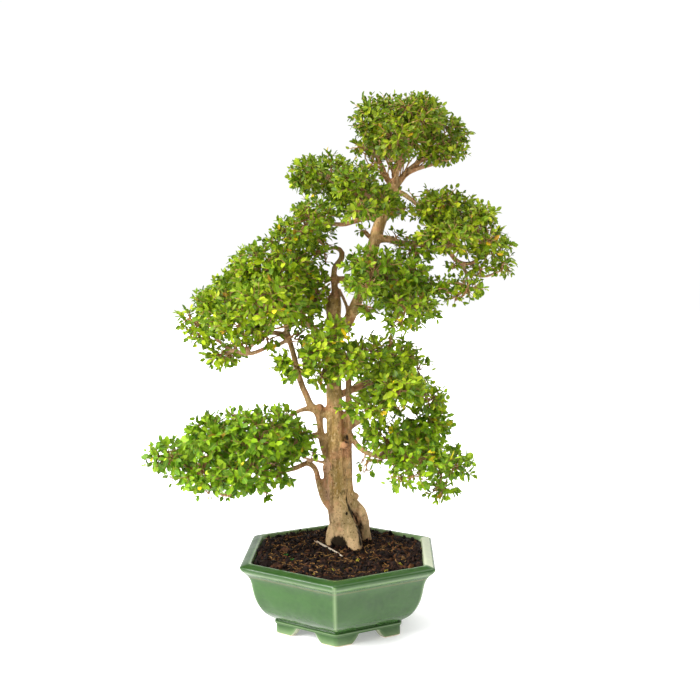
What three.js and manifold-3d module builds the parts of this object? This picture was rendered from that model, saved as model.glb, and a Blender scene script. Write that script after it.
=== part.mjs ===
// A privet bonsai: a slender second trunk grown against a thick main one, branches trained into
// separate pads of small oval leaves, in a glazed hexagonal pot that stands on six bracket feet.
//
// Millimetres, +Z up. The front of the tree is seen by an eye that looks along +Y.

import * as THREE from "three";
import { mergeVertices } from "three/addons/utils/BufferGeometryUtils.js";
import Module from "manifold-3d";

const wasm = await Module();
wasm.setup();

// Driving dimensions

const CORNERS = 6;
const POT_TURN = THREE.MathUtils.degToRad(-2.1); // how far a corner is turned from facing the front
const RIM_CORNER = 151.5; // centre to corner, at the lip of the rim
const RIM_TOP = 104; // height of the rim over the ground
const FOOT_CORNER = 98; // centre to corner, round the feet
const UNDERSIDE = 14; // height of the bowl's underside over the ground
const FLOOR = 23; // height of the bowl's inner floor
const OUTER_BEVEL = 5; // how far a corner's rounding reaches along each side, outside
const INNER_BEVEL = 13; // and inside
const DRAIN_RADIUS = 9;
const DRAIN_OFFSET = 42; // each drain hole from the pot's centre

const SOIL_EDGE = 99.5; // height of the soil at the rim
const SOIL_RISE = 3; // how much higher it lies round the trunk
const SOIL_LUMPS = 1.6; // height of its crumbs, up and down

const TRUNK_X = 1.5; // the trunk stands a little behind the pot's centre, and a little to its right
const TRUNK_Y = 33;
const EYE = new THREE.Vector3(14.5, -1423, 538); // where the front is seen from

const LEAF_LENGTH = 34;
const LEAF_WIDTH = 21;
const LEAF_KEEL = 2.2; // thickness under the middle
const LEAF_SPACING = 35.5; // target distance between neighbouring leaves
const CORE_SHARE = 0.6; // size of the dense heart of a lobe of foliage, against the leafy lobe
const LINK_RADIUS = 4; // twigs that tie the lobes of a spray together

const GAP = 0.35; // clearance between neighbouring pieces
const TRIES_PER_LOBE = 90; // leaves tried on each lobe, of which those with room are kept
const SEED = 20;

// Solids

/** A closed buffer geometry as a solid. */
function solidOf(geometry) {
  const bare = geometry.clone();
  bare.deleteAttribute("normal");
  bare.deleteAttribute("uv");
  const merged = mergeVertices(bare, 1e-4);
  const vertProperties = new Float32Array(merged.attributes.position.array);
  const triVerts = new Uint32Array(merged.index.array);
  return new wasm.Manifold(new wasm.Mesh({ numProp: 3, vertProperties, triVerts }));
}

/** A solid as a buffer geometry. */
function geometryOf(solid) {
  const mesh = solid.getMesh();
  const geometry = new THREE.BufferGeometry();
  geometry.setAttribute("position", new THREE.BufferAttribute(mesh.vertProperties, 3));
  geometry.setIndex(new THREE.BufferAttribute(mesh.triVerts, 1));
  return geometry;
}

function join(solids) {
  return solids.reduce((whole, solid) => whole.add(solid));
}

/** The largest body of a solid. Anything but a small scrap beside it is a mistake in the places. */
function largestBody(solid, name) {
  const bodies = solid.decompose().sort((a, b) => b.volume() - a.volume());
  if (bodies[0].volume() < 0.97 * solid.volume()) {
    throw new Error(`${name} falls apart into ${bodies.length} bodies`);
  }
  return bodies[0];
}

/** Joins rings of points, anticlockwise about the way they follow each other, into a closed skin. */
function loft(rings) {
  const positions = rings.flat().flatMap((p) => [p.x, p.y, p.z]);
  const index = [];
  let start = 0;
  const fan = (first, count, turned) => {
    for (let i = 1; i + 1 < count; i++) {
      index.push(...(turned ? [first, first + i + 1, first + i] : [first, first + i, first + i + 1]));
    }
  };
  fan(0, rings[0].length, true);
  rings.slice(1).forEach((ring, k) => {
    const below = rings[k].length;
    const above = ring.length;
    const next = start + below;
    for (let i = 0; i < Math.max(below, above); i++) {
      const j = i + 1;
      const [a, b] = [start + (i % below), start + (j % below)];
      const [c, d] = [next + (i % above), next + (j % above)];
      if (below > 1) index.push(a, b, d);
      if (above > 1) index.push(a, d, c);
    }
    start = next;
  });
  fan(start, rings.at(-1).length, false);
  const geometry = new THREE.BufferGeometry();
  geometry.setAttribute("position", new THREE.Float32BufferAttribute(positions, 3));
  geometry.setIndex(index);
  return geometry;
}

/** Repeatable random numbers from 0 to 1. */
function randomFrom(seed) {
  let state = seed;
  return () => {
    state = (Math.imul(state, 1664525) + 1013904223) >>> 0;
    return state / 4294967296;
  };
}

const random = randomFrom(SEED);

function randomDirection() {
  const z = 2 * random() - 1;
  const angle = 2 * Math.PI * random();
  const r = Math.sqrt(1 - z * z);
  return new THREE.Vector3(r * Math.cos(angle), r * Math.sin(angle), z);
}

// Places

/** Tree places are written as they look from the front: x, from the trunk's foot, and z where the line of
 * sight meets the trunk's plane, and how far behind that plane (or in front, below 0) the point lies. */
function nearness(depth) {
  return (TRUNK_Y + depth - EYE.y) / (TRUNK_Y - EYE.y);
}

function seen(x, z, depth) {
  return new THREE.Vector3(TRUNK_X + x, TRUNK_Y, z).sub(EYE).multiplyScalar(nearness(depth)).add(EYE);
}

// The pot

/** A hexagon with rounded corners: corner is its size, centre to corner. */
function hexagon(corner, z, bevel) {
  const ring = [];
  for (let k = 0; k < CORNERS; k++) {
    const tips = [-1, 0, 1].map((side) => {
      const angle = POT_TURN + ((k + side) * 2 * Math.PI) / CORNERS - Math.PI / 2;
      return new THREE.Vector3(corner * Math.cos(angle), corner * Math.sin(angle), z);
    });
    const reach = Math.min(bevel / corner, 0.45);
    const along = (side) => tips[1].clone().lerp(tips[1 + side], reach);
    ring.push(along(-1), along(1));
  }
  return ring;
}

const BOWL_OUTSIDE = [
  [FOOT_CORNER + 1.5, UNDERSIDE],
  [FOOT_CORNER + 2, 18],
  [FOOT_CORNER, 20],
  [105, 23.5],
  [117, 33],
  [126, 46],
  [132, 62],
  [134.8, 75],
  [138.5, 84],
  [145, 91],
  [RIM_CORNER - 0.8, 96.5],
  [RIM_CORNER, 99.5],
  [147, 102],
  [138, RIM_TOP],
];
const BOWL_INSIDE = [
  [135, RIM_TOP - 0.6],
  [133, 100],
  [127, 78],
  [120, 57],
  [108, 37],
  [92, FLOOR],
];

function makePot() {
  const outside = BOWL_OUTSIDE.map(([corner, z]) => hexagon(corner, z, OUTER_BEVEL));
  const inside = BOWL_INSIDE.map(([corner, z]) => hexagon(corner, z, INNER_BEVEL));
  const bowl = solidOf(loft([...outside, ...inside]));

  const wall = 11;
  const footHeight = UNDERSIDE + 1;
  const outerFoot = solidOf(loft([0, footHeight].map((z) => hexagon(FOOT_CORNER, z, OUTER_BEVEL))));
  const hollow = solidOf(loft([-1, UNDERSIDE].map((z) => hexagon(FOOT_CORNER - wall, z, OUTER_BEVEL))));
  let feet = outerFoot.subtract(hollow);
  for (let k = 0; k < CORNERS / 2; k++) feet = feet.subtract(footArch(k));

  const drains = [-1, 1].map((side) => {
    const drill = new THREE.CylinderGeometry(DRAIN_RADIUS, DRAIN_RADIUS, 30, 12);
    drill.rotateX(Math.PI / 2).translate(side * DRAIN_OFFSET, 0, FLOOR);
    return solidOf(drill);
  });
  return drains.reduce((pot, drill) => pot.subtract(drill), bowl.add(feet));
}

/** The bracket-shaped opening between two feet, cut through two opposite sides. */
function footArch(k) {
  const half = [
    [25, -1],
    [22.5, 4],
    [17, 9],
    [12.5, UNDERSIDE],
  ];
  const outline = new THREE.Shape();
  outline.setFromPoints([
    ...half.map(([x, z]) => new THREE.Vector2(x, z)),
    ...half.toReversed().map(([x, z]) => new THREE.Vector2(-x, z)),
  ]);
  const length = 3 * FOOT_CORNER;
  const arch = new THREE.ExtrudeGeometry(outline, { depth: length, bevelEnabled: false });
  arch.translate(0, 0, -length / 2).rotateX(Math.PI / 2);
  arch.rotateZ(POT_TURN + ((k + 0.5) * 2 * Math.PI) / CORNERS);
  return solidOf(arch);
}

// Drainage meshes, one over each drain hole

const MESH_SIDE = 30;
const MESH_THICKNESS = 1.2;
const MESH_BASE = FLOOR + GAP;

function meshBlank(side, margin) {
  const size = MESH_SIDE + 2 * margin;
  const blank = new THREE.BoxGeometry(size, size, MESH_THICKNESS + 2 * margin);
  return blank.translate(side * DRAIN_OFFSET, 0, MESH_BASE + MESH_THICKNESS / 2);
}

function makeDrainageMesh(side) {
  let mesh = solidOf(meshBlank(side, 0));
  const [cell, pitch] = [8, 12];
  for (const x of [-0.5, 0.5]) {
    for (const y of [-0.5, 0.5]) {
      const hole = new THREE.BoxGeometry(cell, cell, 10);
      hole.translate(side * DRAIN_OFFSET + x * pitch, y * pitch, MESH_BASE);
      mesh = mesh.subtract(solidOf(hole));
    }
  }
  return mesh;
}

// The soil

function makeSoil(tree) {
  const inner = GAP / Math.cos(Math.PI / CORNERS) + 0.2;
  const wall = BOWL_INSIDE.slice(1)
    .toReversed()
    .map(([corner, z]) => [corner - inner, Math.max(z, FLOOR + GAP)]);
  const sides = wall.map(([corner, z]) => hexagon(corner, Math.min(z, SOIL_EDGE - 1), INNER_BEVEL));
  const edge = wall.at(-1)[0];
  const bands = 5;
  const top = [];
  for (let k = 0; k < bands; k++) {
    const share = 1 - k / bands;
    const rise = SOIL_RISE * (1 - share * share);
    const ring = hexagon(edge * share, SOIL_EDGE + rise, INNER_BEVEL);
    if (k > 0) ring.forEach((p) => (p.z += SOIL_LUMPS * (2 * random() - 1)));
    top.push(ring);
  }
  top.push([new THREE.Vector3(0, 0, SOIL_EDGE + SOIL_RISE)]);
  const pockets = [-1, 1].map((side) => solidOf(meshBlank(side, GAP)));
  return [tree, ...pockets].reduce((soil, part) => soil.subtract(part), solidOf(loft([...sides, ...top])));
}

// The wood, grown as one piece. Each limb lists its bends from its root to its tip:
// x, depth, z and radius.

const LIMBS = [
  // the main trunk, from the root ball to its broken top
  [[4, 8, 58, 12], [4, 8, 92, 13], [4, 5, 102, 15.5], [3, 0, 114, 18.5], [2, 0, 130, 18.5],
    [-2, 0, 150, 17], [-4, 0, 172, 15.5], [-6, 0, 200, 14], [-8, 0, 250, 12.5], [-9, 0, 300, 11.5],
    [-10, 0, 350, 10.5], [-10, 0, 410, 10.5], [-10, 0, 466, 9.5]],
  // roots that flare to the left, to the right and to the back
  [[0, 2, 138, 13], [-7, 3, 120, 13], [-12, 3, 104, 10.5], [-18, 4, 82, 7]],
  [[8, -4, 134, 12], [14, -10, 117, 13], [19, -15, 102, 12.5], [24, -20, 80, 8]],
  [[2, 8, 130, 13], [0, 20, 112, 13], [-2, 28, 98, 11], [-4, 36, 80, 7]],
  // the thin broken leader over the main trunk, with a pruned stub
  [[-10, 1, 456, 7], [-10, 2, 472, 6], [-10, 3, 492, 5], [-5, 4, 504, 4.5], [1, 4, 514, 4],
    [-1, 4, 523, 3.5], [-9, 2, 526, 3], [-20, -4, 522, 2.4]],
  [[-8, 4, 474, 4], [1, 5, 479, 3.5], [11, 6, 483, 3], [20, 6, 480, 2.5]],
  // the new leader, up to the fork under the crown
  [[-6, 0, 410, 8], [5, 2, 428, 9.5], [20, 4, 449, 9], [33, 6, 470, 8.8], [40, 6, 500, 8.8],
    [46, 6, 530, 9], [55, 6, 560, 8.4], [66, 6, 587, 7.2], [73, 6, 606, 7], [76, 6, 620, 5]],
  // under the crown: to the right, low to the right, to the left, to the back and to the front
  [[70, 6, 602, 6], [84, 5, 620, 5.5], [97, 2, 634, 4.8], [112, 0, 645, 4], [134, 0, 664, 3]],
  [[90, 3, 627, 4], [108, -5, 634, 3.2], [130, -10, 640, 2.7], [150, -10, 646, 2.2]],
  [[72, 6, 606, 5], [64, 4, 622, 4.5], [53, 2, 644, 4], [42, 2, 664, 3]],
  [[73, 6, 608, 5], [78, 16, 632, 4.5], [82, 26, 656, 4], [86, 34, 682, 3]],
  [[75, 4, 612, 4.5], [80, -12, 634, 4], [88, -28, 656, 3.4], [94, -36, 676, 2.8]],
  // the branch over the leader's right side
  [[68, 6, 598, 4.5], [82, 0, 601, 4], [97, -8, 592, 3.4], [112, -14, 581, 3.1], [136, -18, 578, 2.5]],
  // the long right branch, with its low shoot, a hanging twig and a shoot to the back
  [[44, 6, 536, 6], [66, -4, 537, 5.4], [84, -14, 531, 5], [110, -24, 530, 4.4], [134, -28, 524, 4],
    [150, -28, 520, 3.7], [160, -27, 508, 3.4], [172, -25, 503, 3.2], [186, -25, 505, 3],
    [204, -28, 520, 2.4]],
  [[168, -26, 506, 2.8], [174, -25, 492, 2.6], [187, -22, 487, 2.4], [202, -18, 485, 2.2],
    [222, -14, 492, 1.8]],
  [[173, -25, 496, 2.4], [177, -32, 478, 2.2], [178, -36, 466, 2]],
  [[104, -22, 530, 3.8], [122, 6, 544, 3.4], [142, 30, 558, 3], [162, 44, 568, 2.5]],
  // the branch to the left shoulder
  [[54, 6, 566, 4.8], [36, 2, 566, 4.2], [18, -2, 561, 3.8], [2, -6, 557, 3.5], [-20, -16, 559, 3.1],
    [-44, -26, 562, 2.6]],
  // to the upper left pad, to the upper front one and to the one behind them
  [[54, 6, 558, 5], [38, 12, 576, 4.4], [18, 18, 594, 4], [-4, 22, 612, 3.4], [-34, 24, 630, 2.5]],
  [[62, 6, 580, 5], [52, -14, 588, 4.4], [38, -38, 596, 3.6], [25, -54, 606, 2.6]],
  [[52, 8, 552, 5], [49, 30, 566, 4.4], [42, 52, 582, 3.8], [26, 72, 600, 3]],
  // into the centre pads, front and back
  [[36, 6, 476, 5.5], [52, -14, 480, 4.6], [68, -34, 482, 4.2], [90, -46, 482, 3]],
  [[66, -32, 482, 4], [78, -52, 464, 3.4], [90, -66, 446, 2.8]],
  [[58, -22, 481, 4], [52, -46, 486, 3.4], [42, -68, 488, 2.8]],
  [[42, 8, 502, 5.5], [46, 28, 500, 5], [54, 50, 492, 4.4], [68, 68, 482, 3.6]],
  // over the trunk's front
  [[-10, -2, 342, 6], [-13, -24, 350, 5], [-20, -50, 362, 4.4], [-28, -76, 380, 3]],
  [[-17, -38, 357, 4], [-4, -58, 360, 3.4], [8, -70, 364, 2.6]],
  // behind the large left pad
  [[-10, 4, 384, 7], [-24, 26, 398, 6], [-44, 46, 418, 5], [-66, 62, 444, 4.6], [-92, 70, 464, 4],
    [-124, 70, 472, 3]],
  // behind the right middle pad
  [[-9, 4, 316, 6], [8, 24, 322, 5.5], [26, 44, 330, 5], [48, 60, 338, 4.4], [74, 66, 344, 3.2]],
  // the low left stem
  [[-4, 2, 146, 6], [-14, 2, 156, 5.5], [-22, 2, 168, 5], [-27, 2, 188, 4.4], [-31, 2, 208, 4.2],
    [-38, 1, 218, 4.2], [-48, -1, 220, 4], [-64, -4, 213, 3.8], [-79, -8, 209, 3.5], [-95, -12, 206, 3.3],
    [-112, -16, 194, 3.1], [-128, -20, 182, 2.9], [-150, -22, 175, 2.7], [-172, -22, 175, 2.5],
    [-202, -20, 200, 2]],
  [[-22, 2, 172, 3], [-20, 3, 196, 2.6], [-24, 3, 216, 2]],
  [[-10, 2, 216, 3], [-26, 0, 221, 2.4], [-50, -4, 227, 1.8]],
  [[-76, -7, 210, 3.2], [-96, 14, 220, 3], [-122, 34, 232, 2.8], [-156, 44, 240, 2.4]],
  [[-92, -11, 206, 3], [-102, -34, 218, 2.8], [-112, -56, 236, 2.6], [-116, -70, 252, 2.2]],
  // the high left stem, with its pruned stub and its shoots
  [[-10, 4, 200, 6], [-17, 5, 218, 5.4], [-22, 5, 234, 5], [-26, 4, 250, 5], [-29, 3, 270, 5],
    [-32, 2, 292, 6], [-42, 1, 302, 5.4], [-48, 0, 316, 4.8], [-57, -2, 338, 4.5], [-66, -4, 374, 4.2],
    [-74, -6, 404, 4], [-80, -12, 430, 3.6], [-90, -20, 460, 3.2], [-106, -24, 490, 2.6]],
  [[-29, 3, 262, 4.6], [-40, 3, 259, 4.2], [-49, 3, 255, 3.6]],
  [[-40, 1, 298, 4.4], [-54, 1, 297, 3.6], [-68, 0, 290, 3], [-80, -4, 278, 2.6], [-100, -12, 268, 2.2]],
  [[-73, -6, 400, 3.6], [-90, -20, 405, 3.2], [-106, -42, 414, 2.8], [-128, -60, 424, 2.4]],
  [[-72, -6, 398, 3.4], [-88, -8, 389, 3.1], [-104, -10, 385, 3], [-116, -12, 380, 3.3],
    [-128, -12, 376.5, 3.4], [-141, -10, 377.5, 3.3], [-155, -8, 382, 3], [-172, -6, 395, 2.6],
    [-186, -4, 409, 2.2]],
  [[-76, -6, 404, 3.6], [-90, -14, 406, 3.4], [-103, -18, 405, 3.3], [-112, -18, 400, 3.3],
    [-122, -16, 391, 3.1], [-132, -13, 383, 3], [-143, -10, 378, 2.9]],
  [[-108, -18, 402, 3.1], [-126, -26, 407, 2.8], [-139, -32, 416, 2.5], [-152, -34, 428, 2.2]],
  [[-145, -10, 379, 2.4], [-150, -14, 391, 2.2], [-157, -18, 404, 2]],
  [[-150, -9, 381, 2.3], [-166, -6, 375, 2.2], [-180, -4, 369, 2]],
  [[-83, -14, 438, 3.4], [-108, -6, 444, 3], [-140, -4, 448, 2.7], [-172, -8, 450, 2.3]],
  // the second trunk
  [[37, 22, 60, 9], [36, 22, 84, 12.5], [34, 22, 102, 11.5], [33, 20, 118, 9.5], [32, 16, 134, 8.6],
    [28, 12, 149, 8.2], [19, 8, 161, 7.4], [13, 5, 173, 7], [11, 2, 192, 6.2], [11, 0, 214, 5.5],
    [11, 0, 300, 4.8], [12, 0, 346, 4.5], [20, -6, 362, 4.2], [34, -22, 372, 3.6], [54, -32, 378, 3],
    [78, -26, 374, 2.5]],
  // its stub, and the wood grown in behind the crevice between the trunks
  [[14, 6, 166, 5], [21, 5, 171, 3.4]],
  [[10, 12, 172, 6], [17, 17, 150, 7.5], [21, 20, 130, 9.5], [24, 22, 108, 11], [24, 24, 84, 11]],
  [[11, 0, 270, 4.4], [24, -10, 279, 4], [38, -24, 287, 3.8], [52, -40, 298, 3.6], [68, -52, 312, 3.3],
    [90, -46, 322, 3], [118, -30, 320, 2.4]],
  [[39, -26, 288, 3.4], [38, -50, 292, 3], [36, -70, 297, 2.4]],
  [[12, 0, 264, 4], [20, -8, 250, 3.6], [32, -16, 237, 3.3], [48, -26, 231, 3.1], [66, -38, 229, 3],
    [90, -50, 230, 2.8], [116, -46, 228, 2.5], [148, -28, 222, 2]],
  [[54, -30, 230, 2.8], [72, -34, 246, 2.6], [92, -28, 258, 2.4], [114, -22, 266, 2]],
  [[58, -32, 230, 2.8], [70, 0, 236, 2.6], [88, 28, 242, 2.3], [104, 42, 244, 2]],
];

/** Joins a limb's bends; extra makes it thicker all over, for the holes that clear it. */
function limb(path, extra) {
  const thickest = Math.max(...path.map((bend) => bend[3]));
  const sides = thickest > 15 ? 9 : thickest > 8.9 ? 7 : thickest > 4.6 ? 5 : 4;
  const centres = path.map(([x, depth, z]) => seen(x, z, depth));
  const across = new THREE.Vector3(0.9, 0.3, 0.1);
  const rings = centres.map((centre, k) => {
    const before = centres[Math.max(k - 1, 0)];
    const after = centres[Math.min(k + 1, centres.length - 1)];
    const along = after.clone().sub(before).normalize();
    across.addScaledVector(along, -across.dot(along)).normalize();
    const upward = along.clone().cross(across);
    const radius = path[k][3] * nearness(path[k][1]) + extra;
    return Array.from({ length: sides }, (_, i) => {
      const angle = (2 * Math.PI * i) / sides;
      const rim = across.clone().multiplyScalar(Math.cos(angle)).addScaledVector(upward, Math.sin(angle));
      return centre.clone().addScaledVector(rim, radius);
    });
  });
  const last = centres.at(-1);
  const onward = last.clone().sub(centres.at(-2)).normalize();
  rings.push([last.clone().addScaledVector(onward, 0.6 * path.at(-1)[3] + extra)]);
  return solidOf(loft(rings));
}

function makeTree(extra = 0) {
  return largestBody(join(LIMBS.map((path) => limb(path, extra))), "tree");
}

// The sprays. Each lists its lobes of foliage: x, depth, z and half its width, depth and height.

const SPRAYS = {
  spray_crown: [
    [57, 4, 700, 50, 44, 43], [106, -28, 706, 50, 42, 41], [108, 48, 704, 47, 42, 39],
    [144, 8, 682, 39, 44, 36], [84, -48, 672, 40, 32, 30], [138, -18, 658, 40, 34, 23],
    [62, 56, 674, 40, 38, 30],
  ],
  spray_upper_left: [[-47, 12, 628, 33, 34, 28], [-14, 28, 632, 34, 36, 27], [-34, 58, 618, 34, 30, 27]],
  spray_upper_front: [
    [22, -56, 610, 38, 34, 35], [58, -44, 596, 34, 32, 30], [28, -72, 578, 28, 28, 23],
    [86, 20, 573, 24, 24, 16],
  ],
  spray_upper_back: [[16, 78, 600, 42, 38, 35], [58, 86, 588, 36, 34, 29]],
  spray_left_shoulder: [
    [-38, -26, 570, 38, 36, 28], [-64, -36, 548, 37, 36, 26], [-40, 34, 552, 38, 36, 30],
    [-34, -20, 517, 24, 24, 15],
  ],
  spray_left_large: [
    [-118, -20, 502, 51, 46, 38], [-74, -36, 492, 47, 46, 40], [-40, -14, 466, 30, 36, 38],
    [-100, -84, 450, 54, 42, 40], [-174, -10, 450, 52, 48, 36], [-142, -66, 422, 50, 40, 31],
    [-188, -2, 406, 34, 34, 25], [-90, -8, 534, 38, 36, 28], [-60, -56, 434, 33, 34, 25],
  ],
  spray_left_back: [
    [-132, 72, 466, 54, 44, 40], [-82, 88, 484, 46, 44, 38], [-104, 126, 454, 42, 34, 32],
  ],
  spray_left_under: [[-178, -10, 370, 31, 30, 21], [-150, 22, 378, 22, 24, 15]],
  spray_centre: [
    [44, -70, 500, 43, 40, 32], [36, -84, 472, 35, 34, 25], [88, -50, 486, 42, 42, 34],
    [94, -70, 446, 43, 40, 27], [84, -80, 422, 25, 28, 19], [104, -24, 522, 38, 32, 21],
    [122, -30, 440, 23, 28, 17],
  ],
  spray_centre_back: [[82, 78, 470, 47, 44, 38], [52, 112, 486, 38, 36, 32]],
  spray_right_upper: [
    [138, -18, 582, 43, 40, 32], [190, -24, 563, 35, 40, 32], [150, -50, 540, 47, 40, 30],
    [204, -34, 530, 38, 38, 28], [231, -12, 506, 19, 26, 22], [162, 50, 566, 44, 40, 34],
  ],
  spray_right_small: [[178, -40, 468, 32, 30, 22], [138, -44, 474, 30, 28, 19]],
  spray_trunk_front: [
    [-8, -70, 409, 31, 32, 21], [-28, -84, 384, 35, 36, 26], [10, -76, 364, 33, 34, 28],
    [-56, -66, 361, 41, 38, 28],
  ],
  spray_right_middle: [
    [44, -40, 378, 39, 36, 28], [88, -20, 368, 37, 42, 33], [76, -64, 328, 50, 44, 28],
    [128, -26, 318, 31, 38, 29], [36, -76, 299, 41, 34, 20],
  ],
  spray_right_back: [[84, 76, 346, 47, 44, 38], [52, 108, 328, 38, 36, 32]],
  spray_right_low: [
    [64, -50, 260, 45, 38, 28], [120, -20, 270, 42, 42, 29], [112, -64, 226, 48, 44, 28],
    [98, -84, 196, 37, 34, 22], [162, -24, 220, 33, 38, 28], [144, -40, 182, 31, 30, 17],
    [42, -26, 214, 17, 18, 13], [104, 50, 242, 47, 40, 32],
  ],
  spray_low_left: [
    [-238, -14, 234, 39, 36, 24], [-178, -46, 254, 52, 48, 37], [-114, -72, 258, 54, 48, 38],
    [-66, -32, 254, 37, 40, 34], [-196, -34, 204, 46, 44, 21], [-140, -80, 203, 56, 44, 29],
    [-84, -52, 197, 31, 34, 19], [-78, -8, 288, 25, 26, 16], [-150, 48, 240, 56, 46, 37],
    [-92, 46, 248, 46, 42, 34], [-212, 36, 230, 43, 38, 26],
  ],
};

const BULGE = 1.13; // a core's corners stand out this far, so that its faces keep its size
const LUMPS = 0.08; // how far its corners stand further in or out, as a share of its size
const ROOT_SHARE = CORE_SHARE * 0.76; // how far out leaves are rooted

/** A lobe as centre and half sizes in the part's frame. */
function placed([x, depth, z, ...half]) {
  const size = new THREE.Vector3(...half).multiplyScalar(nearness(depth));
  return { centre: seen(x, z, depth), size };
}

/** The dense heart of a lobe; extra makes it bigger all over. */
function core(lobe, extra) {
  const round = new THREE.IcosahedronGeometry(BULGE, 0);
  const ball = mergeVertices(round.deleteAttribute("uv").deleteAttribute("normal"));
  const corners = ball.attributes.position;
  const point = new THREE.Vector3();
  const half = lobe.size.clone().multiplyScalar(CORE_SHARE).addScalar(extra);
  for (let i = 0; i < corners.count; i++) {
    point.fromBufferAttribute(corners, i).multiplyScalar(1 + LUMPS * Math.sin(7 * i + lobe.centre.x));
    point.multiply(half).add(lobe.centre);
    corners.setXYZ(i, point.x, point.y, point.z);
  }
  return solidOf(ball);
}

// Leaves

const BURIED = 0.93; // a tip that lies deeper than this in any lobe isn't seen
const LEAST_LEAN = 16; // degrees between a leaf and the surface's normal
const MOST_LEAN = 68;
const LEAF_WIDEST = 0.5; // where along its length a leaf is widest
const LEAF_SAMPLES = [
  [0, 0.08],
  [0.28, 0.28],
  [0.55, 0.5],
  [0.78, 0.28],
  [1, 0.06],
].map(([share, reach]) => [share, reach * LEAF_WIDTH]); // balls that stand in for a leaf

/** A flat pointed blade, thickest at the keel under its middle. */
function leafSolid({ root, along, under, length }) {
  const side = under.clone().cross(along);
  const at = (share, wide, deep) => {
    const point = root.clone().addScaledVector(along, share * length);
    return point.addScaledVector(side, (wide * LEAF_WIDTH) / 2).addScaledVector(under, deep);
  };
  const blade = new THREE.BufferGeometry().setFromPoints([
    root,
    at(LEAF_WIDEST, 1, 0),
    at(1, 0, 0),
    at(LEAF_WIDEST, -1, 0),
    at(LEAF_WIDEST, 0, LEAF_KEEL),
  ]);
  const above = [[0, 1, 3], [1, 2, 3]];
  const below = [[1, 0, 4], [2, 1, 4], [3, 2, 4], [0, 3, 4]];
  blade.setIndex([...above, ...below].flat());
  return solidOf(blade);
}

/** How far outside an ellipsoid a point lies, roughly; negative inside. */
function distanceTo(lobe, point, share) {
  const relative = point.clone().sub(lobe.centre).divide(lobe.size);
  const reach = relative.length();
  return ((reach - share) * point.distanceTo(lobe.centre)) / Math.max(reach, 1e-6);
}

const limbBalls = LIMBS.flatMap((path) =>
  path.slice(1).flatMap((end, k) => {
    const start = path[k];
    const a = seen(start[0], start[2], start[1]);
    const b = seen(end[0], end[2], end[1]);
    const count = Math.ceil(a.distanceTo(b) / 5);
    return Array.from({ length: count }, (_, i) => {
      const share = i / count;
      return { centre: a.clone().lerp(b, share), radius: THREE.MathUtils.lerp(start[3], end[3], share) };
    });
  })
);

/** Whether a leaf keeps clear of the wood, of the other sprays and of the leaves already grown. */
function isClear(leaf, name, lobes, grown) {
  return leaf.balls.every(({ centre, radius, share }) => {
    const hidden = share < 0.3;
    const offWood = limbBalls.every((ball) => {
      return centre.distanceTo(ball.centre) > ball.radius + GAP + (hidden ? 1.2 : radius);
    });
    const offCores = Object.entries(lobes).every(([other, list]) => {
      return list.every((lobe) => {
        const reach = distanceTo(lobe, centre, CORE_SHARE * BULGE);
        return other === name ? hidden || reach > -2 || share < 0.5 : reach > radius + 1;
      });
    });
    const offLeaves = grown.every((old) => {
      const near = old.name === name ? 0.85 : 1;
      return old.balls.every((ball) => {
        return centre.distanceTo(ball.centre) > near * (ball.radius + radius) + GAP;
      });
    });
    return offWood && offCores && offLeaves;
  });
}

/** Grows leaves all round the lobes of every spray, their tips evenly spaced. */
function growLeaves(lobes) {
  const candidates = Object.entries(lobes).flatMap(([name, list]) => {
    return list.flatMap((lobe) => Array.from({ length: TRIES_PER_LOBE }, () => ({ name, lobe, key: random() })));
  });
  candidates.sort((a, b) => a.key - b.key);
  const grown = [];
  for (const { name, lobe } of candidates) {
    const leaf = aimLeaf(name, lobe);
    const buried = Object.values(lobes).some((list) => {
      return list.some((other) => distanceTo(other, leaf.tip, BURIED) < 0);
    });
    const crowded = grown.some((old) => old.tip.distanceTo(leaf.tip) < LEAF_SPACING);
    if (!buried && !crowded && isClear(leaf, name, lobes, grown)) grown.push(leaf);
  }
  return grown;
}

/** A leaf rooted in the lobe's core that leans over just enough for its tip to reach the skin. */
function aimLeaf(name, lobe) {
  const outward = randomDirection();
  const root = outward.clone().multiply(lobe.size).multiplyScalar(ROOT_SHARE).add(lobe.centre);
  const normal = outward.clone().divide(lobe.size).normalize();
  const sideways = randomDirection().cross(normal).normalize();
  const length = LEAF_LENGTH * (0.85 + 0.2 * random());
  const leaning = (degrees) => {
    const lean = THREE.MathUtils.degToRad(degrees);
    return normal.clone().multiplyScalar(Math.cos(lean)).addScaledVector(sideways, Math.sin(lean));
  };
  let lean = LEAST_LEAN;
  const tipAt = (degrees) => root.clone().addScaledVector(leaning(degrees), length);
  while (lean < MOST_LEAN && distanceTo(lobe, tipAt(lean), 1) > 0) lean += 4;
  const along = leaning(lean);
  const under = along.clone().multiplyScalar(along.dot(normal)).sub(normal).normalize();
  const balls = LEAF_SAMPLES.map(([share, radius]) => ({
    centre: root.clone().addScaledVector(along, share * length),
    radius,
    share,
  }));
  return { name, root, tip: tipAt(lean), along, under, length, balls };
}

/** A spray's cores, tied together by twigs. */
function heart(list, extra) {
  const cores = list.map((lobe) => core(lobe, extra));
  const links = list.slice(1).flatMap((lobe, k) => {
    const apart = (other) => {
      const gaps = [0.3, 0.4, 0.5, 0.6, 0.7].map((share) => {
        const point = lobe.centre.clone().lerp(other.centre, share);
        return Math.min(distanceTo(lobe, point, ROOT_SHARE), distanceTo(other, point, ROOT_SHARE));
      });
      return Math.max(...gaps);
    };
    const nearest = list.slice(0, k + 1).sort((a, b) => apart(a) - apart(b))[0];
    const touching = apart(nearest) < -LINK_RADIUS;
    return touching ? [] : [rod(nearest.centre, lobe.centre, LINK_RADIUS + extra)];
  });
  return join([...cores, ...links]);
}

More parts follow.
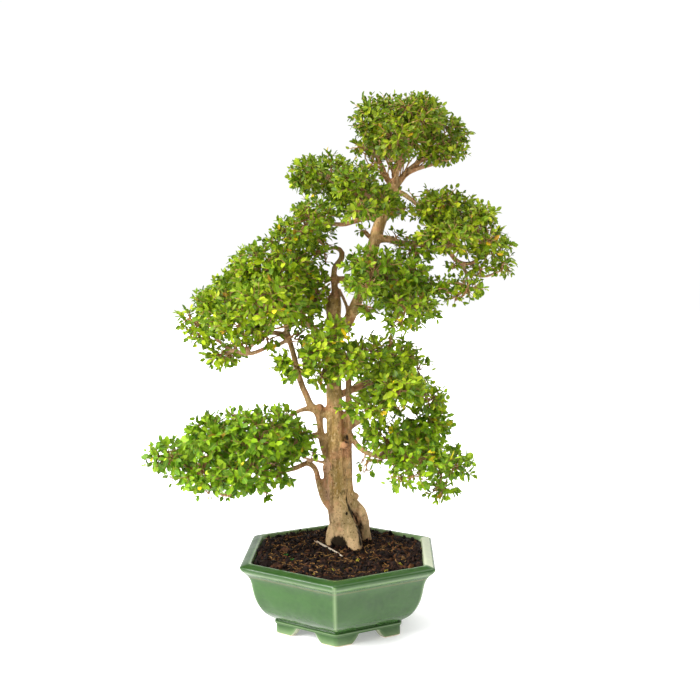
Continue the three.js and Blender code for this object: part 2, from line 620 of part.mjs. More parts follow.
function rod(start, end, radius) {
  const tube = new THREE.CylinderGeometry(radius, radius, start.distanceTo(end), 4);
  const along = end.clone().sub(start).normalize();
  tube.applyQuaternion(new THREE.Quaternion().setFromUnitVectors(new THREE.Vector3(0, 1, 0), along));
  const middle = start.clone().lerp(end, 0.5);
  return solidOf(tube.translate(middle.x, middle.y, middle.z));
}

function makeSprays(clearOfTree) {
  const lobes = Object.fromEntries(Object.entries(SPRAYS).map(([name, list]) => [name, list.map(placed)]));
  const leaves = growLeaves(lobes);
  const sprays = {};
  const taken = [clearOfTree];
  for (const [name, list] of Object.entries(lobes)) {
    const blades = leaves.filter((leaf) => leaf.name === name).map(leafSolid);
    let spray = join([heart(list, 0), ...blades]);
    for (const solid of taken) spray = spray.subtract(solid);
    sprays[name] = largestBody(spray, name);
    taken.push(heart(list, 1.5 * GAP));
  }
  return sprays;
}

// The whole

const tree = makeTree();
const clearOfTree = makeTree(GAP);
const pieces = {
  pot: [makePot(), 0x5c9a63],
  soil: [makeSoil(clearOfTree), 0x2e2220],
  tree: [tree, 0xa98d6b],
  drainage_mesh_left: [makeDrainageMesh(-1), 0x222222],
  drainage_mesh_right: [makeDrainageMesh(1), 0x222222],
};
for (const [name, solid] of Object.entries(makeSprays(clearOfTree))) pieces[name] = [solid, 0x5d9a1f];

const bonsai = new THREE.Group();
for (const [name, [solid, color]] of Object.entries(pieces)) {
  const mesh = new THREE.Mesh(geometryOf(solid), new THREE.MeshStandardMaterial({ color }));
  mesh.name = name;
  bonsai.add(mesh);
}
const bounds = new THREE.Box3().setFromObject(bonsai);
bonsai.position.set(-(bounds.min.x + bounds.max.x) / 2, -(bounds.min.y + bounds.max.y) / 2, -bounds.min.z);

export default bonsai;
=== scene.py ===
"""A privet bonsai in a green glazed hexagonal pot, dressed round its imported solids.

Sizes below are millimetres in a frame whose origin is on the ground under the pot's centre.
"""

import math

import bmesh
import bpy
import numpy as np
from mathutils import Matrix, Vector, kdtree, noise


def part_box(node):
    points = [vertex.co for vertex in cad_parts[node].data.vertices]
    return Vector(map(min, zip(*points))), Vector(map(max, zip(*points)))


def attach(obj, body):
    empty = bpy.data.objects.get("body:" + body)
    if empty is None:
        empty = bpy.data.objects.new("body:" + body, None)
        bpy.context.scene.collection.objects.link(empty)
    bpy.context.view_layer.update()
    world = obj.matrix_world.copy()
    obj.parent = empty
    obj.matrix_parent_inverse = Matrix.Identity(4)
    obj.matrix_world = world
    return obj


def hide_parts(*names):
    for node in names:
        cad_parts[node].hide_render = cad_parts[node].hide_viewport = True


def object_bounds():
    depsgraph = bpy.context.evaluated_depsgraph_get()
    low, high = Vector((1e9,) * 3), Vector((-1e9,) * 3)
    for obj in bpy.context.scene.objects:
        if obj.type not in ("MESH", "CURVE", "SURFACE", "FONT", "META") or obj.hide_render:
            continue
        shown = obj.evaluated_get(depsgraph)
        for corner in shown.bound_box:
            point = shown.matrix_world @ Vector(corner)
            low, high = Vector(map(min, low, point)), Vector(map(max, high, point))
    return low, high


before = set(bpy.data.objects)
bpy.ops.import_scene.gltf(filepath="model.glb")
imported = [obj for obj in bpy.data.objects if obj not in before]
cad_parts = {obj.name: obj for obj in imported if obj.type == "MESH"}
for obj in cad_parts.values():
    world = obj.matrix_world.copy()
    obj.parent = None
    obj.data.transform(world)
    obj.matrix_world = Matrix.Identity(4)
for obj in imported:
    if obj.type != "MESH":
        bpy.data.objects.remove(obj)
cad_low, cad_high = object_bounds()

MM = 0.001
pot_low, pot_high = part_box("pot")
POT = np.array([(pot_low.x + pot_high.x) / 2, (pot_low.y + pot_high.y) / 2, 0.0])
draw = np.random.default_rng(11)  # the soil and the sprays share it, so the order of draws counts

# Sizes that the pot and the soil share

CORNERS = 6
CORNER_STEP = 2 * math.pi / CORNERS
POT_TURN = math.radians(-2.1)  # how far a corner is turned from facing the front
RIM_CORNER = 151.5  # centre to corner, at the lip of the rim
RIM_TOP = 104.0
FOOT_CORNER = 98.0
FOOT_WALL = 11.0
UNDERSIDE = 14.0
FLOOR = 23.0
OUTER_BEVEL = 4.6  # how far a corner's rounding reaches along each side, outside
INNER_BEVEL = 12.0  # and inside
DRAIN_RADIUS = 9.0
DRAIN_OFFSET = 42.0
SOIL_EDGE = 99.5  # height of the soil at the rim
SOIL_RISE = 3.0  # how much higher it lies in the middle

TRUNK_X, TRUNK_Y = 1.5, 33.0
EYE = np.array([14.5, -1423.0, 538.0])  # where the front is seen from


def nearness(depth):
    """How much bigger a thing is than it looks in the trunk's plane, at this depth behind that plane."""
    return (TRUNK_Y + depth - EYE[1]) / (TRUNK_Y - EYE[1])


def seen(x, z, depth):
    """The point at this depth that the front view shows at x, z of the trunk's plane."""
    return EYE + (np.array([TRUNK_X + x, TRUNK_Y, z]) - EYE) * nearness(depth)


# Meshes

FIELDS = {"FLOAT": "value", "FLOAT_VECTOR": "vector", "FLOAT_COLOR": "color"}


def add_object(name, data):
    thing = bpy.data.objects.new(name, data)
    bpy.context.scene.collection.objects.link(thing)
    return thing


def make_object(name, points, faces, material):
    """A mesh object from points in millimetres."""
    mesh = bpy.data.meshes.new(name)
    placed = np.asarray(points, dtype=float) * MM + POT
    mesh.from_pydata(placed.tolist(), [], [list(f) for f in faces])
    mesh.validate()
    mesh.update()
    mesh.shade_smooth()
    mesh.materials.append(material)
    return add_object(name, mesh)


def give(thing, name, values, kind="FLOAT", domain="POINT"):
    """Writes one attribute of an object's mesh."""
    layer = thing.data.attributes.new(name, kind, domain)
    layer.data.foreach_set(FIELDS[kind], np.asarray(values, dtype=np.float32).ravel())


def applied(thing):
    """Swaps an object's mesh for what its modifiers make of it."""
    evaluated = thing.evaluated_get(bpy.context.evaluated_depsgraph_get())
    mesh = bpy.data.meshes.new_from_object(evaluated)
    thing.modifiers.clear()
    thing.data = mesh


class Pile:
    """Gathers small meshes, each with a value or colour for its points, into one."""

    def __init__(self):
        self.points, self.faces, self.extras, self.count = [], [], [], 0

    def add(self, points, faces, extra):
        points, extra = np.asarray(points, dtype=float), np.asarray(extra, dtype=float)
        self.points.append(points)
        self.faces.extend([[i + self.count for i in face] for face in faces])
        self.extras.append(np.broadcast_to(extra, (len(points), extra.shape[-1])))
        self.count += len(points)

    def add_tube(self, path, radii, sides, extra):
        self.add(*tube(path, radii, sides), extra)

    def all(self):
        return np.concatenate(self.points), self.faces, np.concatenate(self.extras)


def skin(rows, sides):
    """Faces over rows of points, each row one ring, closed at both ends by a flat face."""
    faces = []
    for k in range(rows - 1):
        for i in range(sides):
            j = (i + 1) % sides
            faces.append((k * sides + i, k * sides + j, (k + 1) * sides + j, (k + 1) * sides + i))
    faces.append(tuple(reversed(range(sides))))
    faces.append(tuple(range((rows - 1) * sides, rows * sides)))
    return faces


def frames(path):
    """Two directions across a path at each of its points, turning as little as they can."""
    along = np.gradient(path, axis=0)
    along /= np.linalg.norm(along, axis=1)[:, None] + 1e-9
    across = np.array([0.9, 0.3, 0.1])
    first, second = [], []
    for direction in along:
        across = across - direction * across.dot(direction)
        across /= np.linalg.norm(across) + 1e-9
        first.append(across)
        second.append(np.cross(direction, across))
    return np.array(first), np.array(second)


def tube(path, radii, sides):
    """Points and faces of a closed tube round a path."""
    path = np.asarray(path, dtype=float)
    first, second = frames(path)
    angles = np.arange(sides) * 2 * math.pi / sides
    ring = first[:, None] * np.cos(angles)[None, :, None] + second[:, None] * np.sin(angles)[None, :, None]
    points = path[:, None] + ring * np.asarray(radii)[:, None, None]
    return points.reshape(-1, 3), skin(len(path), sides)


def smooth_path(knots, step):
    """A Catmull-Rom curve through knots of any number of columns, one point about every step."""
    knots = np.asarray(knots, dtype=float)
    padded = np.vstack([2 * knots[0] - knots[1], knots, 2 * knots[-1] - knots[-2]])
    out = []
    for a, b, c, d in zip(padded, padded[1:], padded[2:], padded[3:]):
        count = max(1, int(np.linalg.norm((c - b)[:3]) / step))
        t = np.arange(count)[:, None] / count
        arc = 2 * b + (c - a) * t + (2 * a - 5 * b + 4 * c - d) * t**2 + (3 * b - a - 3 * c + d) * t**3
        out.append(0.5 * arc)
    return np.vstack(out + [knots[-1:]])


def ripple(point, size, seed=0.0):
    """Smooth noise from about -1 to 1 that varies over size millimetres."""
    x, y, z = point
    return noise.noise((x / size + seed, y / size - seed, z / size + 2 * seed))


# Materials


def colour(r, g, b):
    """A colour from its screen values, 0 to 255."""
    return tuple((v / 255 / 12.92) if v < 10.4 else ((v / 255 + 0.055) / 1.055) ** 2.4 for v in (r, g, b))


class Nodes:
    """A short way to write a node tree. Colours are screen values, 0 to 255."""

    def __init__(self, name):
        self.material = bpy.data.materials.new(name)
        self.material.use_nodes = True
        self.tree = self.material.node_tree
        self.tree.nodes.clear()
        self.output = self.tree.nodes.new("ShaderNodeOutputMaterial")

    def node(self, kind, settings=None, **inputs):
        made = self.tree.nodes.new(kind)
        for key, value in (settings or {}).items():
            setattr(made, key, value)
        for key, value in inputs.items():
            self.feed(made.inputs[key.replace("_", " ")], value)
        return made

    def feed(self, socket, value):
        if isinstance(value, bpy.types.NodeSocket):
            self.tree.links.new(value, socket)
        else:
            socket.default_value = value

    def paint(self, socket, tone):
        self.feed(socket, (*colour(*tone), 1) if isinstance(tone, tuple) else tone)

    def place(self):
        return self.node("ShaderNodeNewGeometry").outputs["Position"]

    def attribute(self, name, output="Fac"):
        return self.node("ShaderNodeAttribute", {"attribute_name": name}).outputs[output]

    def split(self, vector):
        made = self.node("ShaderNodeSeparateXYZ")
        self.feed(made.inputs[0], vector)
        return made.outputs

    def stretched(self, where, scale):
        made = self.node("ShaderNodeVectorMath", {"operation": "MULTIPLY"})
        self.feed(made.inputs[0], where)
        self.feed(made.inputs[1], scale)
        return made.outputs[0]

    def noise(self, where, scale, detail=3.0, roughness=0.55):
        made = self.node("ShaderNodeTexNoise", Scale=scale, Detail=detail, Roughness=roughness)
        self.feed(made.inputs["Vector"], where)
        return made.outputs["Fac"]

    def math(self, operation, *values):
        made = self.node("ShaderNodeMath", {"operation": operation})
        for socket, value in zip(made.inputs, values):
            self.feed(socket, value)
        return made.outputs[0]

    def ramp(self, value, low, high, a=0.0, b=1.0):
        made = self.node("ShaderNodeMapRange", {"interpolation_type": "SMOOTHSTEP"})
        for key, number in (("From Min", low), ("From Max", high), ("To Min", a), ("To Max", b)):
            made.inputs[key].default_value = number
        self.feed(made.inputs["Value"], value)
        return made.outputs["Result"]

    def mix(self, share, a, b):
        made = self.node("ShaderNodeMix", {"data_type": "RGBA"})
        self.feed(made.inputs["Factor"], share)
        self.paint(made.inputs[6], a)
        self.paint(made.inputs[7], b)
        return made.outputs[2]

    def layers(self, shade, rows):
        """Lays colours over a shade, each by up to its share as its value goes from low to high."""
        for value, low, high, share, tone in rows:
            shade = self.mix(self.ramp(value, low, high, 0.0, share), shade, tone)
        return shade

    def bump(self, height, distance, strength=1.0):
        made = self.node("ShaderNodeBump", Height=height, Distance=distance, Strength=strength)
        return made.outputs["Normal"]

    def finish(self, tone, roughness, normal=None, **constants):
        shader = self.node("ShaderNodeBsdfPrincipled")
        self.paint(shader.inputs["Base Color"], tone)
        self.feed(shader.inputs["Roughness"], roughness)
        for key, value in constants.items():
            shader.inputs[key.replace("_", " ")].default_value = value
        if normal is not None:
            self.feed(shader.inputs["Normal"], normal)
        self.tree.links.new(shader.outputs[0], self.output.inputs["Surface"])
        return shader


def glaze_material():
    n = Nodes("green_glaze")
    where = n.place()
    broad, fine = n.noise(where, 20.0, 2.0), n.noise(where, 150.0, 3.0)
    thin_glaze_and_highlight, pooled_glaze_and_shade, bare = n.attribute("thin_glaze_and_highlight"), n.attribute("pooled_glaze_and_shade"), n.attribute("bare")
    body = n.mix(n.ramp(broad, 0.3, 0.7), (36, 70, 22), (45, 82, 28))
    glazed = n.layers(body, (
        (fine, 0.3, 0.75, 0.3, (57, 94, 37)),
        # paler where the glaze runs thin, with painted highlights on the corners, the lip and the bead over
        # the feet; cream where it is thinnest
        (thin_glaze_and_highlight, 0.05, 1.0, 0.6, (140, 164, 116)),
        (thin_glaze_and_highlight, 0.74, 0.9, 0.5, (204, 200, 176)),
        # dark green where the glaze pools, partly painted shade
        (pooled_glaze_and_shade, 0.1, 1.0, 0.7, (26, 52, 16)),
        # a brownish line under the lip
        (n.attribute("lip_brown_line"), 0.2, 1.0, 0.5, (112, 92, 66)),
        (n.noise(where, 420.0, 1.0), 0.74, 0.78, 0.6, (44, 58, 36)),
    ))
    clay = n.mix(fine, (222, 210, 184), (196, 180, 150))
    shown = n.mix(n.ramp(bare, 0.4, 0.6), glazed, clay)
    rough = n.math("ADD", n.ramp(bare, 0.4, 0.6, 0.17, 0.8), n.ramp(pooled_glaze_and_shade, 0.0, 0.7, 0.0, 0.13))
    waves = n.math("ADD", n.math("MULTIPLY", broad, 1.6), n.math("MULTIPLY", fine, 0.16))
    n.finish(shown, rough, n.bump(waves, 0.0016), Specular_IOR_Level=0.42)
    return n.material


def soil_material():
    n = Nodes("potting_soil")
    where = n.place()
    grain, clod = n.noise(where, 900.0), n.noise(where, 260.0)
    shown = n.layers(n.attribute("tint", "Color"), (
        (grain, 0.7, 0.35, 0.6, (14, 10, 9)),
        (clod, 0.60, 0.80, 0.30, (104, 66, 42)),
    ))
    rough = n.ramp(clod, 0.3, 0.7, 0.6, 0.95)
    n.finish(shown, rough, n.bump(n.math("ADD", grain, clod), 0.0012), Specular_IOR_Level=0.12)
    return n.material


def bark_material():
    n = Nodes("privet_bark")
    where = n.place()
    tall = n.stretched(where, (1.0, 1.0, 0.42))
    flat = n.stretched(where, (0.5, 0.5, 1.6))
    girth = n.attribute("girth")
    patches = n.noise(tall, 85.0, 4.0, 0.65)
    flecks = n.noise(tall, 330.0, 3.0, 0.6)
    wrinkles = n.noise(flat, 420.0, 2.0)
    old = n.mix(n.ramp(patches, 0.38, 0.60), (142, 114, 62), (204, 168, 112))
    young = n.mix(n.ramp(patches, 0.34, 0.66), (126, 94, 58), (184, 148, 104))
    young = n.layers(young, [(girth, 0.2, 0.04, 0.7, (206, 166, 130))])
    # Stains and painted shade, broken up by flecks.
    edge = n.math("MULTIPLY_ADD", n.math("SUBTRACT", flecks, 0.5), 0.9, n.attribute("stain_and_shade"))
    shown = n.layers(n.mix(n.ramp(girth, 0.0, 1.0), young, old), (
        (n.split(where)[2], 0.185, 0.135, 0.74, (222, 188, 144)),
        (n.noise(tall, 42.0, 5.0, 0.65), 0.47, 0.60, 0.66, (112, 100, 54)),
        (n.noise(where, 36.0, 4.0), 0.50, 0.62, 0.55, (192, 134, 98)),
        (flecks, 0.54, 0.72, 0.55, (226, 200, 152)),
        # darker where the bark's relief sinks in: painted shade in its furrows
        (n.attribute("relief"), 0.44, 0.14, 0.6, (90, 68, 40)),
        (wrinkles, 0.58, 0.76, 0.42, (96, 70, 42)),
        (n.noise(where, 260.0, 2.0), 0.62, 0.70, 0.7, (70, 52, 32)),
        # near black where stained and where shade is painted
        (edge, 0.22, 0.62, 0.95, (14, 11, 7)),
    ))
    rough = n.ramp(flecks, 0.3, 0.7, 0.62, 0.86)
    height = n.math("ADD", n.math("MULTIPLY", flecks, 0.8), n.math("MULTIPLY", wrinkles, 0.6))
    n.finish(shown, rough, n.bump(height, 0.0012), Specular_IOR_Level=0.12)
    return n.material


def twig_material():
    n = Nodes("privet_twigs")
    grain = n.noise(n.place(), 420.0)
    share = n.ramp(grain, 0.35, 0.7)
    old = n.mix(share, (144, 108, 66), (196, 156, 106))
    young = n.mix(share, (150, 124, 64), (134, 130, 58))
    wood = n.mix(n.ramp(n.attribute("girth"), 0.2, 0.6), young, old)
    n.finish(wood, 0.66, n.bump(grain, 0.0005), Specular_IOR_Level=0.1)
    return n.material


def leaf_material():
    n = Nodes("privet_leaf")
    across, along, _ = n.split(n.attribute("blade", "Vector"))
    across = n.math("ABSOLUTE", across)
    midrib = n.ramp(across, 0.04, 0.16, 1.0, 0.0)
    slant = n.math("SUBTRACT", along, n.math("MULTIPLY", across, 0.32))
    veins = n.ramp(n.math("SINE", n.math("MULTIPLY", slant, 46.0)), 0.72, 1.0)
    mottle = n.noise(n.place(), 260.0, 2.0)
    body = n.layers(n.attribute("tint", "Color"), [(mottle, 0.3, 0.72, 0.25, (58, 92, 6))])
    lined = n.mix(n.math("MULTIPLY", veins, 0.14), body, (184, 204, 60))
    ribbed = n.mix(n.math("MULTIPLY", midrib, 0.36), lined, (196, 212, 70))
    under = n.attribute("under")
    shown = n.mix(under, ribbed, n.mix(0.45, ribbed, (140, 164, 62)))
    rough = n.ramp(under, 0.0, 1.0, 0.38, 0.64)
    height = n.math("ADD", n.math("MULTIPLY", veins, -0.5), n.math("MULTIPLY", midrib, -1.0))
    shader = n.finish(shown, rough, n.bump(height, 0.0003, 0.8), Specular_IOR_Level=0.26)
    through = n.node("ShaderNodeBsdfTranslucent", Color=n.mix(0.5, shown, (190, 216, 36)))
    both = n.node("ShaderNodeMixShader")
    both.inputs[0].default_value = 0.36
    n.tree.links.new(shader.outputs[0], both.inputs[1])
    n.tree.links.new(through.outputs[0], both.inputs[2])
    n.tree.links.new(both.outputs[0], n.output.inputs["Surface"])
    return n.material


def plastic_material():
    n = Nodes("drainage_mesh_plastic")
    grain = n.noise(n.place(), 700.0, 2.0)
    shown = n.mix(grain, (22, 24, 24), (44, 46, 46))
    n.finish(shown, n.ramp(grain, 0.3, 0.7, 0.4, 0.55), n.bump(grain, 0.0002))
    return n.material


GLAZE, SOIL, BARK, TWIGS, LEAF, PLASTIC = (
    glaze_material(), soil_material(), bark_material(), twig_material(), leaf_material(), plastic_material()
)

# The pot: its section as distances of a corner from the middle, and heights

BOWL_OUTSIDE = [
    (60, UNDERSIDE), (FOOT_CORNER - 2, UNDERSIDE), (FOOT_CORNER + 1.2, UNDERSIDE + 0.3),
    (FOOT_CORNER + 2, 15.4), (FOOT_CORNER + 2.3, 17), (FOOT_CORNER + 2, 18.4), (FOOT_CORNER + 0.6, 19.3),
    (FOOT_CORNER + 0.3, 20.2), (101.6, 22), (105, 23.8), (111, 27.8), (117, 33), (122, 39.4), (126, 46),
    (129.4, 53.6), (132, 62), (133.6, 69), (134.8, 75), (136.4, 80), (138.5, 84), (141.4, 87.8),
    (145, 91.2), (148.6, 94.2), (150.8, 96.8), (RIM_CORNER, 99), (150.6, 100.7), (147.6, 102),
    (143, 103.2), (140, 103.9), (138, RIM_TOP), (136.6, RIM_TOP),
]
BOWL_INSIDE = [
    (135.2, 103.5), (134.2, 102.2), (133.4, 100), (130.6, 90), (127, 78), (120, 57), (108, 37),
    (92, FLOOR), (40, FLOOR),
]
# The lower edge of a foot: distances from the middle of its side, and heights.
ARCH = [
    (0, UNDERSIDE + 0.4), (12, UNDERSIDE + 0.4), (13.6, 13.6), (15.2, 12.2), (16.8, 10), (18.4, 7.6),
    (20.2, 5.2), (22.2, 3.2), (24, 1.6), (25.2, 0.6), (26, 0),
]
# The rounded half of a foot's section: heights over its lower edge, and distances in from its outside.
FOOT_HALF = [(None, 0), (2.6, 0), (1.5, 0.1), (0.5, 0.5), (0.0, 1.4)]


def heading(angle):
    return np.array([math.cos(angle), math.sin(angle)])


def hexagon(corner, bevel, arc=8, flat=12):
    """Points round a hexagon whose corners are rounded from bevel millimetres along each side."""

    def rounded(k, share):
        """A point on the rounding of corner k, a share of it past its middle."""
        middle = POT_TURN + k * CORNER_STEP - math.pi / 2
        lean = middle + CORNER_STEP * share
        return (corner - 2 * bevel) * heading(middle) + math.sqrt(3) * bevel * heading(lean)

    ring = []
    for k in range(CORNERS):
        ring.extend(rounded(k, i / arc - 0.5) for i in range(arc + 1))
        start, end = ring[-1], rounded(k + 1, -0.5)
        ring.extend(start + (end - start) * i / flat for i in range(1, flat))
    return np.array(ring)


def level(ring, z):
    return np.column_stack([ring, np.full(len(ring), z)])


def make_bowl():
    rings = [level(hexagon(corner, OUTER_BEVEL), z) for corner, z in smooth_path(BOWL_OUTSIDE, 1.9)]
    for k, (corner, z) in enumerate(smooth_path(BOWL_INSIDE, 4.0)):
        rings.append(level(hexagon(corner, INNER_BEVEL if k > 1 else 8), z))
    return make_object("glazed_pot", np.vstack(rings), skin(len(rings), len(rings[0])), GLAZE)


def make_feet():
    """The ring of six bracket feet under the bowl, as one strip that follows its lower edge."""
    outer = hexagon(FOOT_CORNER, OUTER_BEVEL, 6, 46)
    inward = hexagon(FOOT_CORNER - FOOT_WALL, OUTER_BEVEL, 6, 46) - outer
    thick = np.linalg.norm(inward, axis=1)
    inward /= thick[:, None]
    top = UNDERSIDE + 1
    count = 2 * len(FOOT_HALF)
    points = []
    turn = [POT_TURN + (k + 0.5) * CORNER_STEP - math.pi / 2 for k in range(CORNERS)]
    for p, way, width in zip(outer, inward, thick):
        middle = min(turn, key=lambda a: -p.dot(heading(a)))
        reach = abs(-p[0] * math.sin(middle) + p[1] * math.cos(middle))
        foot = np.interp(reach, *zip(*ARCH))
        sections = FOOT_HALF + [(rise, width - inset) for rise, inset in reversed(FOOT_HALF)]
        for rise, shift in sections:
            z = top if rise is None else min(foot + rise, top - 0.1)
            points.append((*(p + way * shift), z))
    faces = []
    for i in range(len(outer)):
        j = (i + 1) % len(outer)
        for k in range(count):
            m = (k + 1) % count
            faces.append((i * count + k, i * count + m, j * count + m, j * count + k))
    feet = make_object("feet", points, faces, GLAZE)
    z = np.array(points)[:, 2].reshape(-1, count)
    # The feet are paler all over and palest along their lower edges: thin glaze, with painted highlight on
    # the edges.
    edge = np.clip(1.3 - (z - z.min(axis=1, keepdims=True)) / 2.0, 0.7, 1) * (z < top - 0.2)
    give(feet, "thin_glaze_and_highlight", edge)
    for name in ("pooled_glaze_and_shade", "lip_brown_line"):
        give(feet, name, np.zeros(len(points)))
    give(feet, "bare", np.clip(2.1 - z, 0, 1))
    return feet


def make_pot():
    bowl, feet = make_bowl(), make_feet()
    for side in (-1, 1):
        path = [(side * DRAIN_OFFSET, 0, UNDERSIDE - 4), (side * DRAIN_OFFSET, 0, FLOOR + 4)]
        drill = make_object(f"drill_{side}", *tube(path, [DRAIN_RADIUS] * 2, 40), GLAZE)
        cut = bowl.modifiers.new("drain", "BOOLEAN")
        cut.operation, cut.object, cut.solver = "DIFFERENCE", drill, "EXACT"
        applied(bowl)
        bpy.data.objects.remove(drill)
    x, y, z = ((np.array([v.co for v in bowl.data.vertices]) - POT) / MM).T
    away = np.hypot(x, y)
    angle = np.arctan2(y, x) - POT_TURN
    turned = (angle + math.pi / 2 + math.pi / 6) % CORNER_STEP - math.pi / 6
    out = away * np.cos(math.pi / 6 - np.abs(turned)) / math.cos(math.pi / 6)
    beside = np.abs(away * np.sin(turned))

    def band(middle, width):
        return np.clip(1 - np.abs(z - middle) / width, 0, 1)

    # Paler glaze where it runs thin on the corners, the rim's inner edge and the feet, and painted highlights
    # along the corners, on the lip and on the bead over the feet.
    corner = np.clip(1 - beside / 4.8, 0, 1) * (out > 95) * (z > 24) * (z < 99)
    lip = band(93.4, 4.6) * (out > 136)
    edge = np.clip(1 - (out - 137) / 1.6, 0, 1) * (z > 98)
    foot = np.maximum(band(17.0, 1.7), band(14.5, 0.8)) * (out > 90)
    # The top of the rim on the right is paler, cream at its palest.
    pale_right_rim = np.clip((math.pi / 6 - np.abs(angle)) / 0.02, 0, 1) * (x > 100) * (z > 99) * (out < 149)
    thin_glaze_and_highlight = np.maximum.reduce([corner * 0.8, lip * 0.7, edge * 0.7, foot * 0.7, pale_right_rim * 0.87])
    # Darker on the outer top of the rim and in the crease over the feet: partly glaze pooled there, partly
    # painted shade.
    rim_top = np.clip((z - 95.8) / 4.2, 0, 1) * (out > 138.5)
    pooled_glaze_and_shade = np.maximum(rim_top * 0.7, band(20.4, 1.7) * 0.8)
    give(bowl, "thin_glaze_and_highlight", thin_glaze_and_highlight)
    give(bowl, "pooled_glaze_and_shade", pooled_glaze_and_shade * np.clip(1 - 2 * thin_glaze_and_highlight, 0, 1))
    # A brownish line under the lip, where the rim flares out from the wall.
    give(bowl, "lip_brown_line", band(86.6, 2.4) * (out > 136))
    give(bowl, "bare", np.zeros(len(z)))
    with bpy.context.temp_override(active_object=bowl, selected_editable_objects=[bowl, feet]):
        bpy.ops.object.join()
    bowl.data.set_sharp_from_angle(angle=math.radians(42))
    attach(bowl, "root")
    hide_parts("pot")


# The soil

FLECKS = [
    colour(40, 26, 20), colour(22, 15, 14), colour(60, 37, 26), colour(84, 52, 32), colour(27, 20, 17),
    colour(116, 76, 46), colour(50, 35, 27), colour(150, 112, 70),
]
FLECK_SHARES = [0.24, 0.26, 0.15, 0.09, 0.15, 0.04, 0.05, 0.02]
CRUMBS, WALL_CRUMBS, CHIPS, FIBRES = 1700, 560, 650, 1500
SOIL_BANDS = 56  # rings of its surface
SOIL_CORNER = 132.0  # centre to corner, where it meets the wall
SOIL_REACH = 131.0
FIBRE_REACH = 112.0  # fibres stay this close to the middle
WALL_CLEARANCE = 0.4  # between the soil and the bowl's floor
FIBRE_STEPS = 6
CHIP_FACES = [(3, 2, 1, 0), (4, 5, 6, 7), (0, 1, 5, 4), (1, 2, 6, 5), (2, 3, 7, 6), (3, 0, 4, 7)]
CHIP_CORNERS = np.array([(u, v, w) for w in (-1, 1) for u, v in ((-1, -1), (1, -1), (1, 1), (-1, 1))])
# The pale stick and its fork: bends, spacing, radii at both ends, sides and colour.
STICKS = [
    ([(-33, 34, 104.8), (-25, 19, 105.2), (-13, -1, 104.9), (-3, -18, 104.6), (4, -31, 103.2)],
     5, (1.5, 1.0), 6, (240, 222, 198)),
    ([(-29, 27, 105.0), (-34, 30, 105.8), (-37, 34, 106.4)], 3, (0.8, 0.5), 5, (220, 190, 160)),
]
# Fallen leaves: x, y and size.
FALLEN = [(25, -50, 4.5), (83, -63, 4.0), (61, -89, 4.2), (-30, -101, 4.0), (-8, -84, 2.6), (70, 30, 2.6)]
SEEDLINGS = [(-74, -24), (-65, -42)]


def out_to_side(x, y):
    """How far from the pot's middle a point lies, square to the side that it is nearest to."""
    turns = [POT_TURN + k * CORNER_STEP for k in (0, 1, -1)]
    return max(abs(x * math.sin(turn) - y * math.cos(turn)) for turn in turns)


def soil_height(x, y):
    """Height of the soil's lumpy surface, with a share of how high this lump is."""
    share = min(out_to_side(x, y) / SOIL_REACH, 1.0)
    lump = 2.3 * ripple((x, y, 3), 17) + 1.9 * ripple((x, y, 8), 7.5) + 1.0 * ripple((x, y, 1), 3.3)
    fade = min(1.0, max(0.15, (1 - share) * 5))
    return SOIL_EDGE + SOIL_RISE * (1 - share**2) + lump * fade - 0.4, lump


def on_soil(x, y, lift=0.0):
    return np.array([x, y, soil_height(x, y)[0] + lift])


def scatter():
    """A place on the soil, clear of the wall."""
    while True:
        x, y = draw.uniform(-SOIL_REACH, SOIL_REACH, 2)
        if out_to_side(x, y) < 108 and math.hypot(x, y) < 120:
            return x, y


def turned(points, tilt=1.0, source=draw):
    """Points turned at random, and leant by less where tilt is under 1."""
    q = source.normal(size=4) * (1, tilt, tilt, 1)
    w, x, y, z = q / np.linalg.norm(q)
    spin = np.array([
        [1 - 2 * (y * y + z * z), 2 * (x * y - z * w), 2 * (x * z + y * w)],
        [2 * (x * y + z * w), 1 - 2 * (x * x + z * z), 2 * (y * z - x * w)],
        [2 * (x * z - y * w), 2 * (y * z + x * w), 1 - 2 * (x * x + y * y)],
    ])
    return points @ spin.T


def fleck(source, darkest, brightest):
    """A random colour of the soil's bits."""
    tone = np.array(FLECKS[source.choice(len(FLECKS), p=FLECK_SHARES)])
    return (*(tone * source.uniform(darkest, brightest)), 1)


def add_ground(pile):
    """The soil's body: up along the wall, then inwards over its surface."""
    walls = [(corner - 1.0, max(z, FLOOR + WALL_CLEARANCE)) for corner, z in reversed(BOWL_INSIDE[2:])]
    rings = [level(hexagon(corner, INNER_BEVEL, 8, 30), z) for corner, z in walls if z < SOIL_EDGE - 1]
    for k in range(SOIL_BANDS):
        share = 1 - k / SOIL_BANDS
        flat = hexagon(SOIL_CORNER * share, INNER_BEVEL * share, 8, 30)
        rings.append(np.array([on_soil(x, y) for x, y in flat]))
    rings[-1] = rings[-1] * 0.5 + np.mean(rings[-1], axis=0) * 0.5
    points = np.vstack(rings)
    dark, pale = np.array(colour(16, 11, 9)), np.array(colour(66, 41, 27))
    tints = []
    for x, y, z in points:
        pick = 0.5 + 0.5 * ripple((x, y, z), 5.0, 4.0) + 0.3 * ripple((x, y, z), 1.7, 9.0)
        # Painted shade and light: the soil is darker in the hollows between its lumps and lighter on them.
        low = min(max(0.75 + 0.14 * soil_height(x, y)[1], 0.4), 1.1)
        tints.append((dark + (pale - dark) * min(max(pick * 1.3 - 0.35, 0), 1)) * low)
    pile.add(points, skin(len(rings), len(rings[0])), np.column_stack([tints, np.ones(len(points))]))


